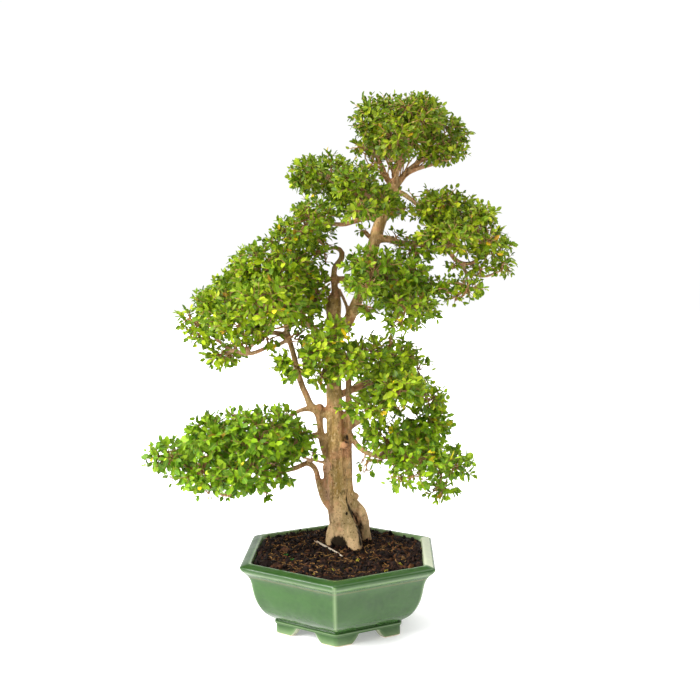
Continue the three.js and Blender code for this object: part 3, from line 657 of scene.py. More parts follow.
def add_fibre(pile):
    x, y = scatter()
    if ripple((x, y, 0), 26, 7.0) + 0.25 * draw.normal() < -0.02:
        return
    length, way, bend = draw.uniform(5, 26), draw.uniform(0, 2 * math.pi), draw.normal(0, 0.5)
    track = []
    for _ in range(FIBRE_STEPS):
        track.append((x, y))
        x += math.cos(way) * length / FIBRE_STEPS
        y += math.sin(way) * length / FIBRE_STEPS
        way += bend / 2 + draw.normal(0, 0.16)
    arch = draw.uniform(0.2, 1.8) * np.sin(np.linspace(0, math.pi, FIBRE_STEPS))
    path = np.array([on_soil(*spot, 0.2 + rise) for spot, rise in zip(track, arch)])
    if np.hypot(path[:, 0], path[:, 1]).max() > FIBRE_REACH:
        return
    thick = draw.uniform(0.2, 0.45)
    red = draw.random()
    tone = np.array(colour(112, 66, 34)) * (1 - red) + np.array(colour(194, 150, 88)) * red
    pile.add_tube(path, [thick] * FIBRE_STEPS, 3, (*(tone * draw.uniform(0.45, 1.5)), 1))


def make_soil():
    pile = Pile()
    add_ground(pile)
    shape = bmesh.new()
    bmesh.ops.create_icosphere(shape, subdivisions=1, radius=1.0)
    lump_points = np.array([v.co for v in shape.verts])
    lump_faces = [tuple(v.index for v in f.verts) for f in shape.faces]
    shape.free()

    def add_crumb(x, y, source):
        size = source.gamma(3.0, 0.5) + 0.5
        half = size * source.uniform([0.7, 0.5, 0.35], [1.5, 1.1, 0.8])
        rough = lump_points * (1 + 0.25 * source.normal(size=(len(lump_points), 1)))
        crumb = turned(rough * half, 1.0, source) + on_soil(x, y, 0.3 * size)
        pile.add(crumb, lump_faces, fleck(source, 0.7, 1.2))

    for _ in range(CRUMBS):
        add_crumb(*scatter(), draw)
    wall_draw = np.random.default_rng(31)
    for _ in range(WALL_CRUMBS):
        ring = hexagon(wall_draw.uniform(108, 129), INNER_BEVEL, 8, 30)
        add_crumb(*ring[wall_draw.integers(len(ring))], wall_draw)
    for _ in range(CHIPS):
        x, y = scatter()
        half = draw.uniform((1.4, 0.9, 0.3), (3.8, 2.4, 0.9))
        chip = turned(CHIP_CORNERS * half * draw.uniform(0.6, 1.3, (8, 1)), 0.7)
        pile.add(chip + on_soil(x, y, 1.0), CHIP_FACES, fleck(draw, 0.5, 1.5))
    for _ in range(FIBRES):
        add_fibre(pile)
    for bends, step, thick, sides, tone in STICKS:
        path = smooth_path(bends, step)
        pile.add_tube(path, np.linspace(*thick, len(path)), sides, (*colour(*tone), 1))
    for x, y, size in FALLEN:
        blade = turned(CHIP_CORNERS * (size, size * 0.45, 0.3), 0.4)
        pile.add(blade + on_soil(x, y, 1.6), CHIP_FACES, (*colour(206, 190, 70), 1))
    for x, y in SEEDLINGS:
        root = on_soil(x, y)
        for k in range(5):
            way = np.array([*heading(1.3 * k), 1.1])
            path = [root, root + way * 1.8, root + way * 3.2]
            pile.add_tube(path, [0.4, 0.9, 0.2], 3, (*colour(60, 130, 50), 1))

    points, faces, tints = pile.all()
    soil = make_object("soil_surface", points, faces, SOIL)
    soil.data.set_sharp_from_angle(angle=math.radians(50))
    give(soil, "tint", tints, "FLOAT_COLOR")
    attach(soil, "root")
    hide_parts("soil")


# The wood. Each limb lists its bends from its root to its tip: x, depth, z and radius.

LIMBS = [
    # the main trunk, from the root ball to its broken top
    [[4, 8, 58, 12], [4, 8, 92, 13], [4, 5, 102, 15.5], [3, 0, 114, 18.5], [2, 0, 130, 18.5],
     [-2, 0, 150, 17], [-4, 0, 172, 15.5], [-6, 0, 200, 14], [-8, 0, 250, 12.5], [-9, 0, 300, 11.5],
     [-10, 0, 350, 10.5], [-10, 0, 410, 10.5], [-10, 0, 445, 10.8], [-9, 0, 453, 9.3], [-7, 0, 460, 6.8]],
    # roots that flare to the left, to the right and to the back
    [[0, 2, 138, 13], [-7, 3, 120, 13], [-12, 3, 104, 10.5], [-18, 4, 82, 7]],
    [[8, -4, 134, 12], [14, -10, 117, 13], [19, -15, 102, 12.5], [24, -20, 80, 8]],
    [[2, 8, 130, 13], [0, 20, 112, 13], [-2, 28, 98, 11], [-4, 36, 80, 7]],
    # the thin broken leader over the main trunk, with a pruned stub
    [[-7, 1, 455, 6.8], [-8.5, 2, 470, 4.8], [-9.3, 3, 481, 5.3], [-9.3, 3, 491, 4.2], [-7.5, 4, 499, 4.2],
     [-2.3, 4, 504.5, 4.3], [1.6, 4, 511, 4.2], [1.9, 4, 518, 3.9], [-1.6, 4, 523, 3.5], [-8, 2, 525, 3.2],
     [-15, -1, 524, 2.8], [-23, -4, 520, 2.4]],
    [[-8, 4, 480, 4.6], [1, 5, 481, 4.9], [9, 6, 482, 3.8], [20, 6, 482, 2.5]],
    # the new leader, up to the fork under the crown
    [[-6, 0, 398, 8], [5, 2, 413, 8.6], [14, 3, 430, 8.2], [20, 4, 444, 8], [26, 5, 457, 8.2],
     [33, 6, 472, 8.5], [40, 6, 500, 8.8], [46, 6, 530, 9],
     [55, 6, 560, 8.4], [66, 6, 587, 7.2], [73, 6, 606, 7], [76, 6, 620, 5]],
    [[10, 10, 434, 3], [8, 10, 444, 2.6], [3.5, 9, 455, 2.5], [-2, 6, 467, 2.6]],
    # under the crown: to the right, low to the right, to the left, to the back and to the front
    [[70, 6, 602, 6], [84, 5, 620, 4.8], [97, 2, 634, 4], [112, 0, 645, 3.2], [134, 0, 664, 2.4]],
    [[90, 3, 627, 4], [108, -5, 634, 3.2], [130, -10, 640, 2.7], [150, -10, 646, 2.2]],
    [[72, 6, 606, 4.2], [64, 4, 622, 3.2], [53, 2, 644, 2.6], [42, 2, 664, 2.2]],
    [[73, 6, 608, 4.6], [78, 16, 632, 3.6], [82, 26, 656, 3], [86, 34, 682, 2.4]],
    [[75, 4, 612, 4], [80, -12, 634, 3], [88, -28, 656, 2.5], [94, -36, 676, 2.2]],
    # the branch over the leader's right side
    [[68, 6, 598, 4.5], [82, 0, 601, 4], [97, -8, 592, 3.4], [112, -14, 581, 3.1], [136, -18, 578, 2.5]],
    # the long right branch, with its low shoot, a hanging twig and a shoot to the back
    [[44, 6, 536, 6], [66, -4, 537, 5.4], [84, -14, 531, 5], [110, -24, 530, 4.4], [134, -28, 524, 4],
     [150, -28, 520, 3.7], [160, -27, 508, 3.4], [172, -25, 503, 3.2], [186, -25, 505, 3],
     [204, -28, 520, 2.4]],
    [[168, -26, 506, 2.8], [174, -25, 492, 2.6], [187, -22, 487, 2.4], [202, -18, 485, 2.2],
     [222, -14, 492, 1.8]],
    [[173, -25, 496, 2.4], [177, -32, 478, 2.2], [178, -36, 466, 2]],
    [[104, -22, 530, 3.8], [122, 6, 544, 3.4], [142, 30, 558, 3], [162, 44, 568, 2.5]],
    # the branch to the left shoulder
    [[54, 6, 566, 4.8], [36, 2, 566, 4.2], [18, -2, 561, 3.8], [2, -6, 557, 3.5], [-20, -16, 559, 3.1],
     [-44, -26, 562, 2.6]],
    # to the upper left pad, to the upper front one and to the one behind them
    [[54, 6, 558, 5], [38, 12, 576, 4.4], [18, 18, 594, 4], [-4, 22, 612, 3.4], [-34, 24, 630, 2.5]],
    [[62, 6, 580, 5], [52, -14, 588, 4.4], [38, -38, 596, 3.6], [25, -54, 606, 2.6]],
    [[52, 8, 552, 5], [49, 30, 566, 4.4], [42, 52, 582, 3.8], [26, 72, 600, 3]],
    # into the centre pads, front and back
    [[36, 6, 476, 5.5], [52, -14, 480, 4.6], [68, -34, 482, 4.2], [90, -46, 482, 3]],
    [[66, -32, 482, 4], [78, -52, 464, 3.4], [90, -66, 446, 2.8]],
    [[58, -22, 481, 4], [52, -46, 486, 3.4], [42, -68, 488, 2.8]],
    [[42, 8, 502, 5.5], [46, 28, 500, 5], [54, 50, 492, 4.4], [68, 68, 482, 3.6]],
    # over the trunk's front
    [[-10, -2, 342, 6], [-13, -24, 350, 5], [-20, -50, 362, 4.4], [-28, -76, 380, 3]],
    [[-17, -38, 357, 4], [-4, -58, 360, 3.4], [8, -70, 364, 2.6]],
    # behind the large left pad
    [[-10, 4, 384, 7], [-24, 26, 398, 6], [-44, 46, 418, 5], [-66, 62, 444, 4.6], [-92, 70, 464, 4],
     [-124, 70, 472, 3]],
    # behind the right middle pad
    [[-9, 4, 316, 6], [8, 24, 322, 5.5], [26, 44, 330, 5], [48, 60, 338, 4.4], [74, 66, 344, 3.2]],
    # the low left stem
    [[-4, 2, 146, 6], [-16, 2, 156, 5.2], [-25, 2, 168, 4.6], [-31, 2, 188, 4.2], [-35, 2, 208, 4.1],
     [-41, 1, 217, 4], [-48, -1, 220, 4], [-64, -4, 213, 3.8], [-79, -8, 209, 3.5], [-95, -12, 206, 3.3],
     [-112, -16, 194, 3.1], [-128, -20, 182, 2.9], [-150, -22, 175, 2.7], [-172, -22, 175, 2.5],
     [-202, -20, 200, 2]],
    [[-24, 2, 170, 2.6], [-23, 3, 196, 2.1], [-25, 3, 216, 2]],
    [[-10, 2, 216, 3], [-26, 0, 221, 2.4], [-50, -4, 227, 1.8]],
    [[-76, -7, 210, 3.2], [-96, 14, 220, 3], [-122, 34, 232, 2.8], [-156, 44, 240, 2.4]],
    [[-92, -11, 206, 3], [-102, -34, 218, 2.8], [-112, -56, 236, 2.6], [-116, -70, 252, 2.2]],
    # the high left stem, with its pruned stub and its shoots
    [[-10, 4, 200, 6], [-17, 5, 218, 5.4], [-22, 5, 234, 5], [-26, 4, 250, 5], [-29, 3, 270, 5],
     [-32, 2, 292, 6], [-42, 1, 302, 5.4], [-48, 0, 316, 4.8], [-57, -2, 338, 4.5], [-66, -4, 374, 4.2],
     [-74, -6, 404, 4], [-80, -12, 430, 3.6], [-90, -20, 460, 3.2], [-106, -24, 490, 2.6]],
    [[-29, 3, 262, 4.6], [-40, 3, 259, 4.2], [-49, 3, 255, 3.6]],
    [[-40, 1, 298, 4.4], [-54, 1, 297, 3.6], [-68, 0, 290, 3], [-80, -4, 278, 2.6], [-100, -12, 268, 2.2]],
    [[-73, -6, 400, 3.6], [-90, -20, 405, 3.2], [-106, -42, 414, 2.8], [-128, -60, 424, 2.4]],
    [[-72, -6, 398, 3.4], [-88, -8, 389, 3.1], [-104, -10, 385, 3], [-116, -12, 380, 3.3],
     [-128, -12, 376.5, 3.4], [-141, -10, 377.5, 3.3], [-155, -8, 382, 3], [-172, -6, 395, 2.6],
     [-186, -4, 409, 2.2]],
    [[-76, -6, 404, 3.6], [-90, -14, 406, 3.4], [-103, -18, 405, 3.3], [-112, -18, 400, 3.3],
     [-122, -16, 391, 3.1], [-132, -13, 383, 3], [-143, -10, 378, 2.9]],
    [[-108, -18, 402, 3.1], [-126, -26, 407, 2.8], [-139, -32, 416, 2.5], [-152, -34, 428, 2.2]],
    [[-145, -10, 379, 2.4], [-150, -14, 391, 2.2], [-157, -18, 404, 2]],
    [[-150, -9, 381, 2.3], [-166, -6, 375, 2.2], [-180, -4, 369, 2]],
    [[-83, -14, 438, 3.4], [-108, -6, 444, 3], [-140, -4, 448, 2.7], [-172, -8, 450, 2.3]],
    # the second trunk
    [[37, 22, 60, 9], [36, 22, 84, 12.5], [34, 22, 102, 11.5], [33, 20, 118, 9.5], [32, 16, 134, 8.6],
     [28, 12, 149, 8.2], [19, 8, 161, 7.4], [13, 5, 173, 7], [11, 2, 192, 6.2], [11, 0, 214, 5.5],
     [11, 0, 300, 4.8], [12, 0, 346, 4.5], [20, -6, 362, 4.2], [34, -22, 372, 3.6], [54, -32, 378, 3],
     [78, -26, 374, 2.5]],
    # its stub, and the wood grown in behind the crevice between the trunks
    [[14, 6, 166, 5], [21, 5, 171, 3.4]],
    [[10, 12, 172, 6], [17, 17, 150, 7.5], [21, 20, 130, 9.5], [24, 22, 108, 11], [24, 24, 84, 11]],
    [[11, 0, 270, 4.4], [24, -10, 279, 4], [38, -24, 287, 3.8], [52, -40, 298, 3.6], [68, -52, 312, 3.3],
     [90, -46, 322, 3], [118, -30, 320, 2.4]],
    [[39, -26, 288, 3.4], [38, -50, 292, 3], [36, -70, 297, 2.4]],
    [[12, 0, 264, 4.6], [20, -8, 250, 4.3], [32, -16, 238, 4.1], [48, -26, 231, 3.8], [66, -38, 228, 3.4],
     [90, -50, 230, 2.8], [116, -46, 228, 2.5], [148, -28, 222, 2]],
    [[54, -30, 230, 2.8], [72, -34, 246, 2.6], [92, -28, 258, 2.4], [114, -22, 266, 2]],
    [[58, -32, 230, 2.8], [70, 0, 236, 2.6], [88, 28, 242, 2.3], [104, 42, 244, 2]],
]
# Healed knobs and swellings on the bark: x, depth, z and radius.
KNOBS = [[-20, 1, 290, 5.5], [-30, 0, 299, 7], [16, -3, 286, 6], [21, 4, 172, 5.5], [29, 9, 149, 7.8],
         [-14, -6, 262, 6], [6, -12, 246, 6], [-6, -10, 330, 5], [2, -4, 420, 8]]
# Dark places on the bark, stains and painted shade: x, depth, z, how far they reach and how dark they are.
STAINS_AND_SHADE = [
    # patches on the trunk and in the crotch on the left, and painted shade beside the back root
    [-12, -12, 214, 8, 0.4], [4, -14, 176, 7, 0.4], [-2, -12, 132, 8, 0.3], [-17, -6, 172, 12, 0.4],
    [26, 4, 127, 14, 0.5], [22, 0, 142, 8, 0.45],
    # painted shade in the hollow between the roots and in a pit, and a scar
    [-3, -12, 101, 15, 1.4], [9, -16, 146, 2.8, 1.3], [8, -12, 255, 6, 0.9],
    # the shade between the two trunks
    [12, -2, 275, 24, 0.3], [12, -2, 240, 26, 0.34], [13, -2, 205, 24, 0.3],
]
# The crevice between the two trunks, seen from the front: x, z and half its width, all in millimetres.
CREVICE = smooth_path([[9, 184, 1.0], [8.5, 169, 1.6], [12, 157, 2.0], [16.6, 146, 2.3], [22, 136, 2.7],
                       [26, 124, 3.2], [29, 108, 4.0]], 1.0)
# The hollow between the roots in front, in the same way.
HOLLOW = smooth_path([[-2, 117, 2.5], [-4, 109, 7.5], [-6, 99, 12.0]], 1.0)
VOXEL = 1.75
CREVICE_DEPTH, HOLLOW_DEPTH = 3.4, 7.0


def placed_limb(path):
    """A limb's curve, its bends in place: x, y, z and radius."""
    bends = [(*seen(x, z, depth), r * nearness(depth)) for x, depth, z, r in path]
    return smooth_path(bends, 4.0)


limbs = [placed_limb(path) for path in LIMBS]
samples = np.vstack(limbs)
wood_tree = kdtree.KDTree(len(samples))
for index, (x, y, z, _) in enumerate(samples):
    wood_tree.insert((x, y, z), index)
wood_tree.balance()


def make_wood():
    pile = Pile()
    for path in limbs:
        wobble = [1 + 0.07 * ripple(p[:3], 16, 2.0) + 0.04 * ripple(p[:3], 6, 5.0) for p in path]
        sides = 20 if path[:, 3].max() > 9 else 12
        ahead = path[-1, :3] - path[-2, :3]
        last = path[-1, :3] + ahead / np.linalg.norm(ahead) * path[-1, 3] * 0.5
        radii = np.append(path[:, 3] * wobble, path[-1, 3] * 0.5)
        pile.add_tube(np.vstack([path[:, :3], last]), radii, sides, (0,))
    for x, depth, z, radius in KNOBS:
        heights = np.linspace(-1, 1, 9)
        path = [seen(x, z, depth) + (0, 0, h) for h in heights * radius]
        pile.add_tube(path, [radius * math.sqrt(max(1 - h * h, 0.02)) for h in heights], 12, (0,))
    points, faces, _ = pile.all()
    wood = make_object("living_wood", points, faces, BARK)
    remesh = wood.modifiers.new("grown", "REMESH")
    remesh.mode, remesh.voxel_size, remesh.use_smooth_shade = "VOXEL", VOXEL * MM, True
    applied(wood)
    even = wood.modifiers.new("even", "SMOOTH")
    even.factor, even.iterations = 0.5, 4
    applied(wood)

    mesh = wood.data
    count = len(mesh.vertices)
    flat = np.empty(count * 3, dtype=np.float32)
    mesh.vertices.foreach_get("co", flat)
    points = (flat.reshape(-1, 3) - POT) / MM
    mesh.vertices.foreach_get("normal", flat)
    normals = flat.reshape(-1, 3).copy()
    girth, relief = np.empty(count), np.empty(count)
    for i, (p, away) in enumerate(zip(points, normals)):
        _, index, _ = wood_tree.find(p)
        radius = samples[index, 3]
        girth[i] = min(max((radius - 2.5) / 7.0, 0.0), 1.0)
        x, y, z = p
        ridge = ripple((x, y, z * 0.16), 7.0, 1.0)
        lumps = ripple((x, y, z * 0.5), 15.0, 3.0)
        small = ripple((x, y, z * 1.1), 3.2, 7.0)
        depth = (1.1 * ridge + 1.3 * lumps + 0.45 * small) * (0.25 + 0.75 * girth[i]) * min(1.0, radius / 5.0)
        relief[i] = 0.5 + 0.35 * lumps + 0.45 * ridge + 0.22 * small
        points[i] = p + away * depth
    cut = np.zeros(count)
    for line, depth in ((CREVICE, CREVICE_DEPTH), (HOLLOW, HOLLOW_DEPTH)):
        near = np.zeros(count)
        for x, z, width in line:
            off = np.hypot(points[:, 0] - TRUNK_X - x, points[:, 2] - z)
            near = np.maximum(near, np.clip(1.25 - off / width, 0, 1))
        near *= (normals[:, 1] < 0.2) * (points[:, 1] < TRUNK_Y + 14)
        points[:, 1] += depth * near
        cut = np.maximum(cut, near)
    # Painted shade: the carved crevice and hollow are darkened.
    stain_and_shade = 0.62 * cut
    for x, depth, z, reach, strength in STAINS_AND_SHADE:
        away = np.linalg.norm((points - seen(x, z, depth)) * (1, 0.35, 0.8), axis=1)
        stain_and_shade = np.maximum(stain_and_shade, strength * np.clip(1.5 - 1.5 * away / reach, 0, 1))
    for name, values in (("girth", girth), ("relief", relief), ("stain_and_shade", stain_and_shade)):
        give(wood, name, values)
    mesh.materials.clear()
    mesh.materials.append(BARK)
    mesh.shade_smooth()
    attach(wood, "root")
    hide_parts("tree")


# The sprays. Each lists its lobes of foliage: x, depth, z and half its width, depth and height.
SPRAYS = {
    "crown": [
        [59, 4, 697, 47, 44, 40], [104, -28, 701, 48, 42, 39], [104, 48, 699, 44, 42, 37],
        [140, 8, 679, 37, 44, 35], [84, -48, 672, 40, 32, 30], [138, -18, 658, 40, 34, 23],
        [62, 56, 674, 40, 38, 30], [26, 0, 662, 18, 18, 15],
        [47, 0, 638, 18, 17, 13], [80, -16, 641, 18, 16, 11],
        [33, -4, 634, 11, 11, 9], [57, -8, 626, 9, 10, 7],
    ],
    "upper_left": [[-45, 12, 627, 31, 34, 27], [-14, 28, 632, 34, 36, 27], [-34, 58, 618, 34, 30, 27]],
    "upper_front": [
        [22, -56, 610, 38, 34, 35], [57, -44, 588, 32, 32, 26], [28, -72, 576, 28, 28, 23],
        [86, 20, 577, 22, 24, 14], [32, 0, 549, 13, 12, 7], [77, 0, 541, 20, 18, 8],
        [66, -20, 597, 14, 12, 9],
    ],
    "upper_back": [[16, 78, 600, 42, 38, 35], [58, 86, 588, 36, 34, 29]],
    "left_shoulder": [
        [-38, -26, 570, 38, 36, 28], [-62, -36, 546, 35, 36, 26], [-40, 34, 552, 38, 36, 30],
        [-34, -20, 517, 24, 24, 15], [-21, -12, 505, 10, 11, 9], [-17, -8, 529, 12, 10, 6],
        [-21, -10, 516, 9, 8, 7], [-22, -12, 485, 10, 12, 12], [-27, -14, 470, 10, 11, 9],
    ],
    "left_large": [
        [-114, -20, 498, 48, 46, 36], [-74, -36, 492, 47, 46, 40], [-40, -14, 466, 30, 36, 38],
        [-100, -84, 450, 54, 42, 40], [-168, -10, 444, 44, 48, 31], [-142, -66, 422, 50, 40, 31],
        [-188, -2, 408, 33, 34, 25], [-212, -6, 426, 20, 22, 18], [-83, -8, 526, 32, 36, 24],
        [-60, -56, 434, 33, 34, 25], [-103, -30, 398, 26, 24, 13], [-57, -34, 401, 19, 20, 15],
        [-140, -24, 392, 20, 20, 11],
    ],
    "left_back": [
        [-132, 72, 466, 54, 44, 40], [-82, 88, 484, 46, 44, 38], [-104, 126, 454, 42, 34, 32],
    ],
    "left_under": [[-168, -10, 373, 29, 30, 18], [-150, 22, 378, 22, 24, 15]],
    "centre": [
        [44, -70, 500, 43, 40, 32], [36, -84, 472, 35, 34, 25], [88, -50, 486, 42, 42, 34],
        [94, -70, 446, 43, 40, 27], [84, -80, 422, 25, 28, 19], [104, -24, 522, 38, 32, 21],
        [122, -30, 440, 23, 28, 17], [104, -50, 417, 15, 14, 10], [42, -26, 438, 20, 20, 13],
    ],
    "centre_back": [[82, 78, 470, 47, 44, 38], [52, 112, 486, 38, 36, 32]],
    "right_upper": [
        [138, -18, 580, 43, 40, 31], [189, -24, 560, 35, 40, 31], [150, -50, 540, 47, 40, 30],
        [204, -34, 530, 38, 38, 28], [226, -12, 503, 20, 26, 21], [162, 50, 566, 44, 40, 34],
        [196, -26, 498, 28, 24, 11], [101, -14, 596, 11, 12, 8], [155, -20, 602, 10, 10, 8],
    ],
    "right_small": [
        [176, -40, 470, 31, 30, 21], [138, -44, 472, 30, 28, 17], [156, -30, 499, 15, 16, 11],
        [160, -34, 455, 19, 20, 10],
    ],
    "trunk_front": [
        [-8, -70, 409, 31, 32, 21], [-28, -84, 384, 35, 36, 26], [10, -76, 364, 33, 34, 28],
        [-56, -66, 361, 41, 38, 28], [-30, -60, 342, 24, 24, 14],
    ],
    "right_middle": [
        [44, -40, 378, 39, 36, 28], [84, -20, 375, 32, 42, 26], [80, -64, 328, 46, 44, 28],
        [127, -26, 311, 29, 36, 28], [36, -76, 299, 41, 34, 20],
        [80, -46, 298, 17, 16, 11], [70, -40, 397, 16, 16, 10],
    ],
    "right_back": [[84, 76, 346, 47, 44, 38], [52, 108, 328, 38, 36, 32]],
    "right_low": [
        [64, -50, 262, 45, 38, 30], [120, -20, 275, 42, 42, 31], [112, -64, 226, 48, 44, 28],
        [98, -84, 200, 37, 34, 19], [160, -24, 219, 32, 38, 26], [142, -40, 182, 28, 30, 17],
        [176, -24, 207, 16, 18, 14], [34, -26, 210, 18, 16, 11], [104, 50, 242, 47, 40, 32],
        [38, -24, 222, 17, 14, 10], [30, -20, 222, 11, 12, 8], [52, -50, 222, 14, 18, 9],
        [74, -60, 190, 14, 14, 12],
    ],
    "low_left": [
        [-243, -14, 231, 43, 36, 26], [-176, -46, 256, 49, 48, 38], [-114, -72, 262, 54, 48, 41],
        [-69, -32, 256, 35, 40, 35], [-196, -34, 204, 46, 44, 21], [-140, -80, 203, 56, 44, 29],
        [-90, -52, 202, 27, 34, 16], [-81, -8, 288, 23, 26, 15], [-150, 48, 240, 56, 46, 37],
        [-92, 46, 248, 46, 42, 34], [-212, 36, 230, 43, 38, 26],
        [-37, -10, 237, 15, 16, 11], [-105, -50, 178, 12, 11, 16], [-190, -40, 180, 20, 18, 13],
        [-160, -50, 178, 18, 18, 10], [-240, -20, 199, 13, 12, 11], [-150, -30, 288, 20, 20, 12],
    ],
}
EVERY_DEPTH = 150
# Limbs and gaps that no leaf in front hides from the front view: bends as x, z and half the width kept clear,
# with the depth up to which they are clear.
CLEARED = [
    ([[-36, 298, 8], [-50, 320, 6], [-57, 338, 5.5], [-66, 374, 5.5], [-73, 396, 5]], -4),
    ([[48, 536, 6], [54, 552, 9], [60, 566, 4]], 0),
    ([[-13, 513, 4], [-9, 513, 4]], EVERY_DEPTH),
    ([[-9, 484, 5], [-8, 466, 6], [-9, 448, 8]], 0),
    ([[75, 611, 4], [76, 614, 8], [84, 620, 5], [97, 634, 5], [112, 645, 3]], 0),
    ([[-34, 204, 6], [-40, 216, 6], [-48, 220, 6], [-60, 214, 5]], 0),
    ([[-52, 286, 4], [-43, 283, 6], [-44, 273, 7]], EVERY_DEPTH),
    ([[94, 291, 5], [102, 289, 6]], EVERY_DEPTH),
    ([[-97, 399, 4], [-88, 400, 5]], EVERY_DEPTH),
    ([[53, 205, 4.5], [60, 206, 5]], EVERY_DEPTH),
    ([[23, 231, 4], [29, 230, 4]], EVERY_DEPTH),
    ([[-70, 205, 5], [-64, 202, 6]], EVERY_DEPTH),
    ([[164, 190, 3.5], [168, 188, 3.5]], EVERY_DEPTH),
    ([[134, 504, 4.5], [138, 496, 5]], EVERY_DEPTH),
    ([[112, 356, 7], [121, 352, 8]], EVERY_DEPTH),
]
FORKS = {"crown": (74, 606, 5)}  # where twigs fan out from the wood: x, z and depth
TIP_SPACING = 11.0  # between the tips of neighbouring shoots whose leaves are full size
INNER_SPACING = 15.5
SUBHUBS = 8  # places in a lobe where its shoots start
CLOSER = {"trunk_front": 0.86}  # sprays whose shoots stand closer
TWIGGY = {"crown": 1.35, "left_large": 1.3, "left_under": 1.3, "right_upper": 1.2}  # and are thicker
LEAF_LENGTHS = (9.4, 13.8)  # of full-sized leaves
LEAF_WIDTHS = (0.5, 0.68)  # as shares of their length
LEANS = (38, 66)  # degrees between a leaf and its twig
TIP_LEANS = (18, 42)  # and at a twig's tip
LEAVES_LOST = 0.07
BARK_ROOM = 2.0  # leaves keep this clear of the bark
LEAF_ROWS = ((0.28, 0.93), (0.73, 0.80))  # share of the length, share of the width
# How bright and how yellow each spray is beside the rest: brightness partly its own tone, partly painted
# light and shade.
TONES_AND_PAINTED_LIGHT = {
    "crown": (0.95, 1.28), "upper_left": (1.03, 1.15), "upper_front": (1.03, 1.15), "upper_back": (1.0, 1.15),
    "left_shoulder": (1.08, 1.12), "left_large": (1.27, 1.16), "left_back": (1.1, 1.15),
    "left_under": (1.18, 1.15), "centre": (0.94, 1.05), "centre_back": (0.94, 1.05),
    "right_upper": (1.04, 1.26), "right_small": (1.05, 1.15), "trunk_front": (1.28, 1.13),
    "right_middle": (1.28, 1.16), "right_back": (1.15, 1.15), "right_low": (1.28, 1.03),
    "low_left": (1.16, 0.93),
}
# The leaves' colours, and how often each is drawn.
GREENS = [
    (colour(120, 152, 8), 0.30), (colour(94, 134, 8), 0.28), (colour(146, 176, 16), 0.19),
    (colour(70, 108, 10), 0.13), (colour(174, 198, 40), 0.07), (colour(48, 82, 14), 0.02),
    (colour(228, 204, 26), 0.010), (colour(156, 116, 28), 0.006),
]


def unit(vectors):
    return vectors / (np.linalg.norm(vectors, axis=-1, keepdims=True) + 1e-9)


def directions(count):
    return unit(draw.normal(size=(count, 3)))


def bent(start, end, steps, bow, twist=0.0):
    """A path from start to end that bows out, and that twist bends once more."""
    t = np.linspace(0, 1, steps)[:, None]
    return start * (1 - t) + end * t + np.sin(np.pi * t) * bow + np.sin(3 * np.pi * t) * twist


lobes = {
    name: [(seen(x, z, depth), np.array(half) * nearness(depth)) for x, depth, z, *half in rows]
    for name, rows in SPRAYS.items()
}
every_lobe = [lobe for rows in lobes.values() for lobe in rows]
cleared = np.vstack([
    [(*row, TRUNK_Y + depth) for row in smooth_path(bends, 3.0)] for bends, depth in CLEARED
])


def hides_limb(point):
    """Whether the front view shows this point in front of a limb that is kept clear."""
    x, _, z = EYE + (point - EYE) * (TRUNK_Y - EYE[1]) / (point[1] - EYE[1])
    over = np.hypot(cleared[:, 0] + TRUNK_X - x, cleared[:, 1] - z) < cleared[:, 2]
    return bool((over & (point[1] < cleared[:, 3])).any())


def depth_in(points):
    """How far inside its most enclosing lobe each point is: 1 on a lobe's skin, 0 at its centre."""
    return np.min([np.linalg.norm((points - centre) / half, axis=1) for centre, half in every_lobe], axis=0)


def spread(points, spacing):
    """The points of a list that keep this far from those before them."""
    cells, kept = {}, []
    keys = np.floor(points / spacing).astype(int)
    for i, (point, key) in enumerate(zip(points, keys)):
        near = (
            cells.get((key[0] + a, key[1] + b, key[2] + c), ())
            for a in (-1, 0, 1) for b in (-1, 0, 1) for c in (-1, 0, 1)
        )
        if all(((points[j] - point) ** 2).sum() > spacing**2 for cell in near for j in cell):
            cells.setdefault(tuple(key), []).append(i)
            kept.append(i)
    return kept


def leaf_template():
    """A blade as points (across, along, side) and faces: a rim, a midrib above it and one point below it."""
    rows = [(u * w, v, 1) for v, w in LEAF_ROWS for u in (-1, 0, 1)]
    points = [(0, 0, 1), *rows, (0, 1, 1), (0, 0.46, 0)]
    top = [(0, 2, 1), (0, 3, 2), (1, 2, 5, 4), (2, 3, 6, 5), (7, 4, 5), (7, 5, 6)]
    rim = [0, 1, 4, 7, 6, 3]
    bottom = [(8, a, b) for a, b in zip(rim, rim[1:] + rim[:1])]
    return np.array(points, dtype=float), top, bottom


BLADE, TOP_FACES, BOTTOM_FACES = leaf_template()


def smallness(z):
    """Leaves and shoots get smaller towards the top: their share of the full size at this height."""
    return float(np.interp(z, (200, 360, 700), (1.16, 1.0, 0.84)))


def leaf_points(root, along, normal, length, width, fold, droop, curl):
    """One leaf's points. fold lifts its sides, droop bends its tip down and curl waves its rim."""
    side = np.cross(along, normal)
    u, v, above = BLADE[:, 0], BLADE[:, 1], BLADE[:, 2]
    half = width / 2
    rise = np.abs(u) * half * fold - droop * length * v**2 + curl * half * np.abs(u) * np.sin(7 * v + 2 * u)
    rise = rise - np.where(above > 0, 0.0, 0.28)
    return root + np.outer(v * length, along) + np.outer(u * half, side) + np.outer(rise, normal)


# Leaves keep within this much of the solids' box, along x, y and z.
ROOM = (9, 6, 9)
LEAST = (np.array(cad_low) - POT) / MM - ROOM
MOST = (np.array(cad_high) - POT) / MM + ROOM


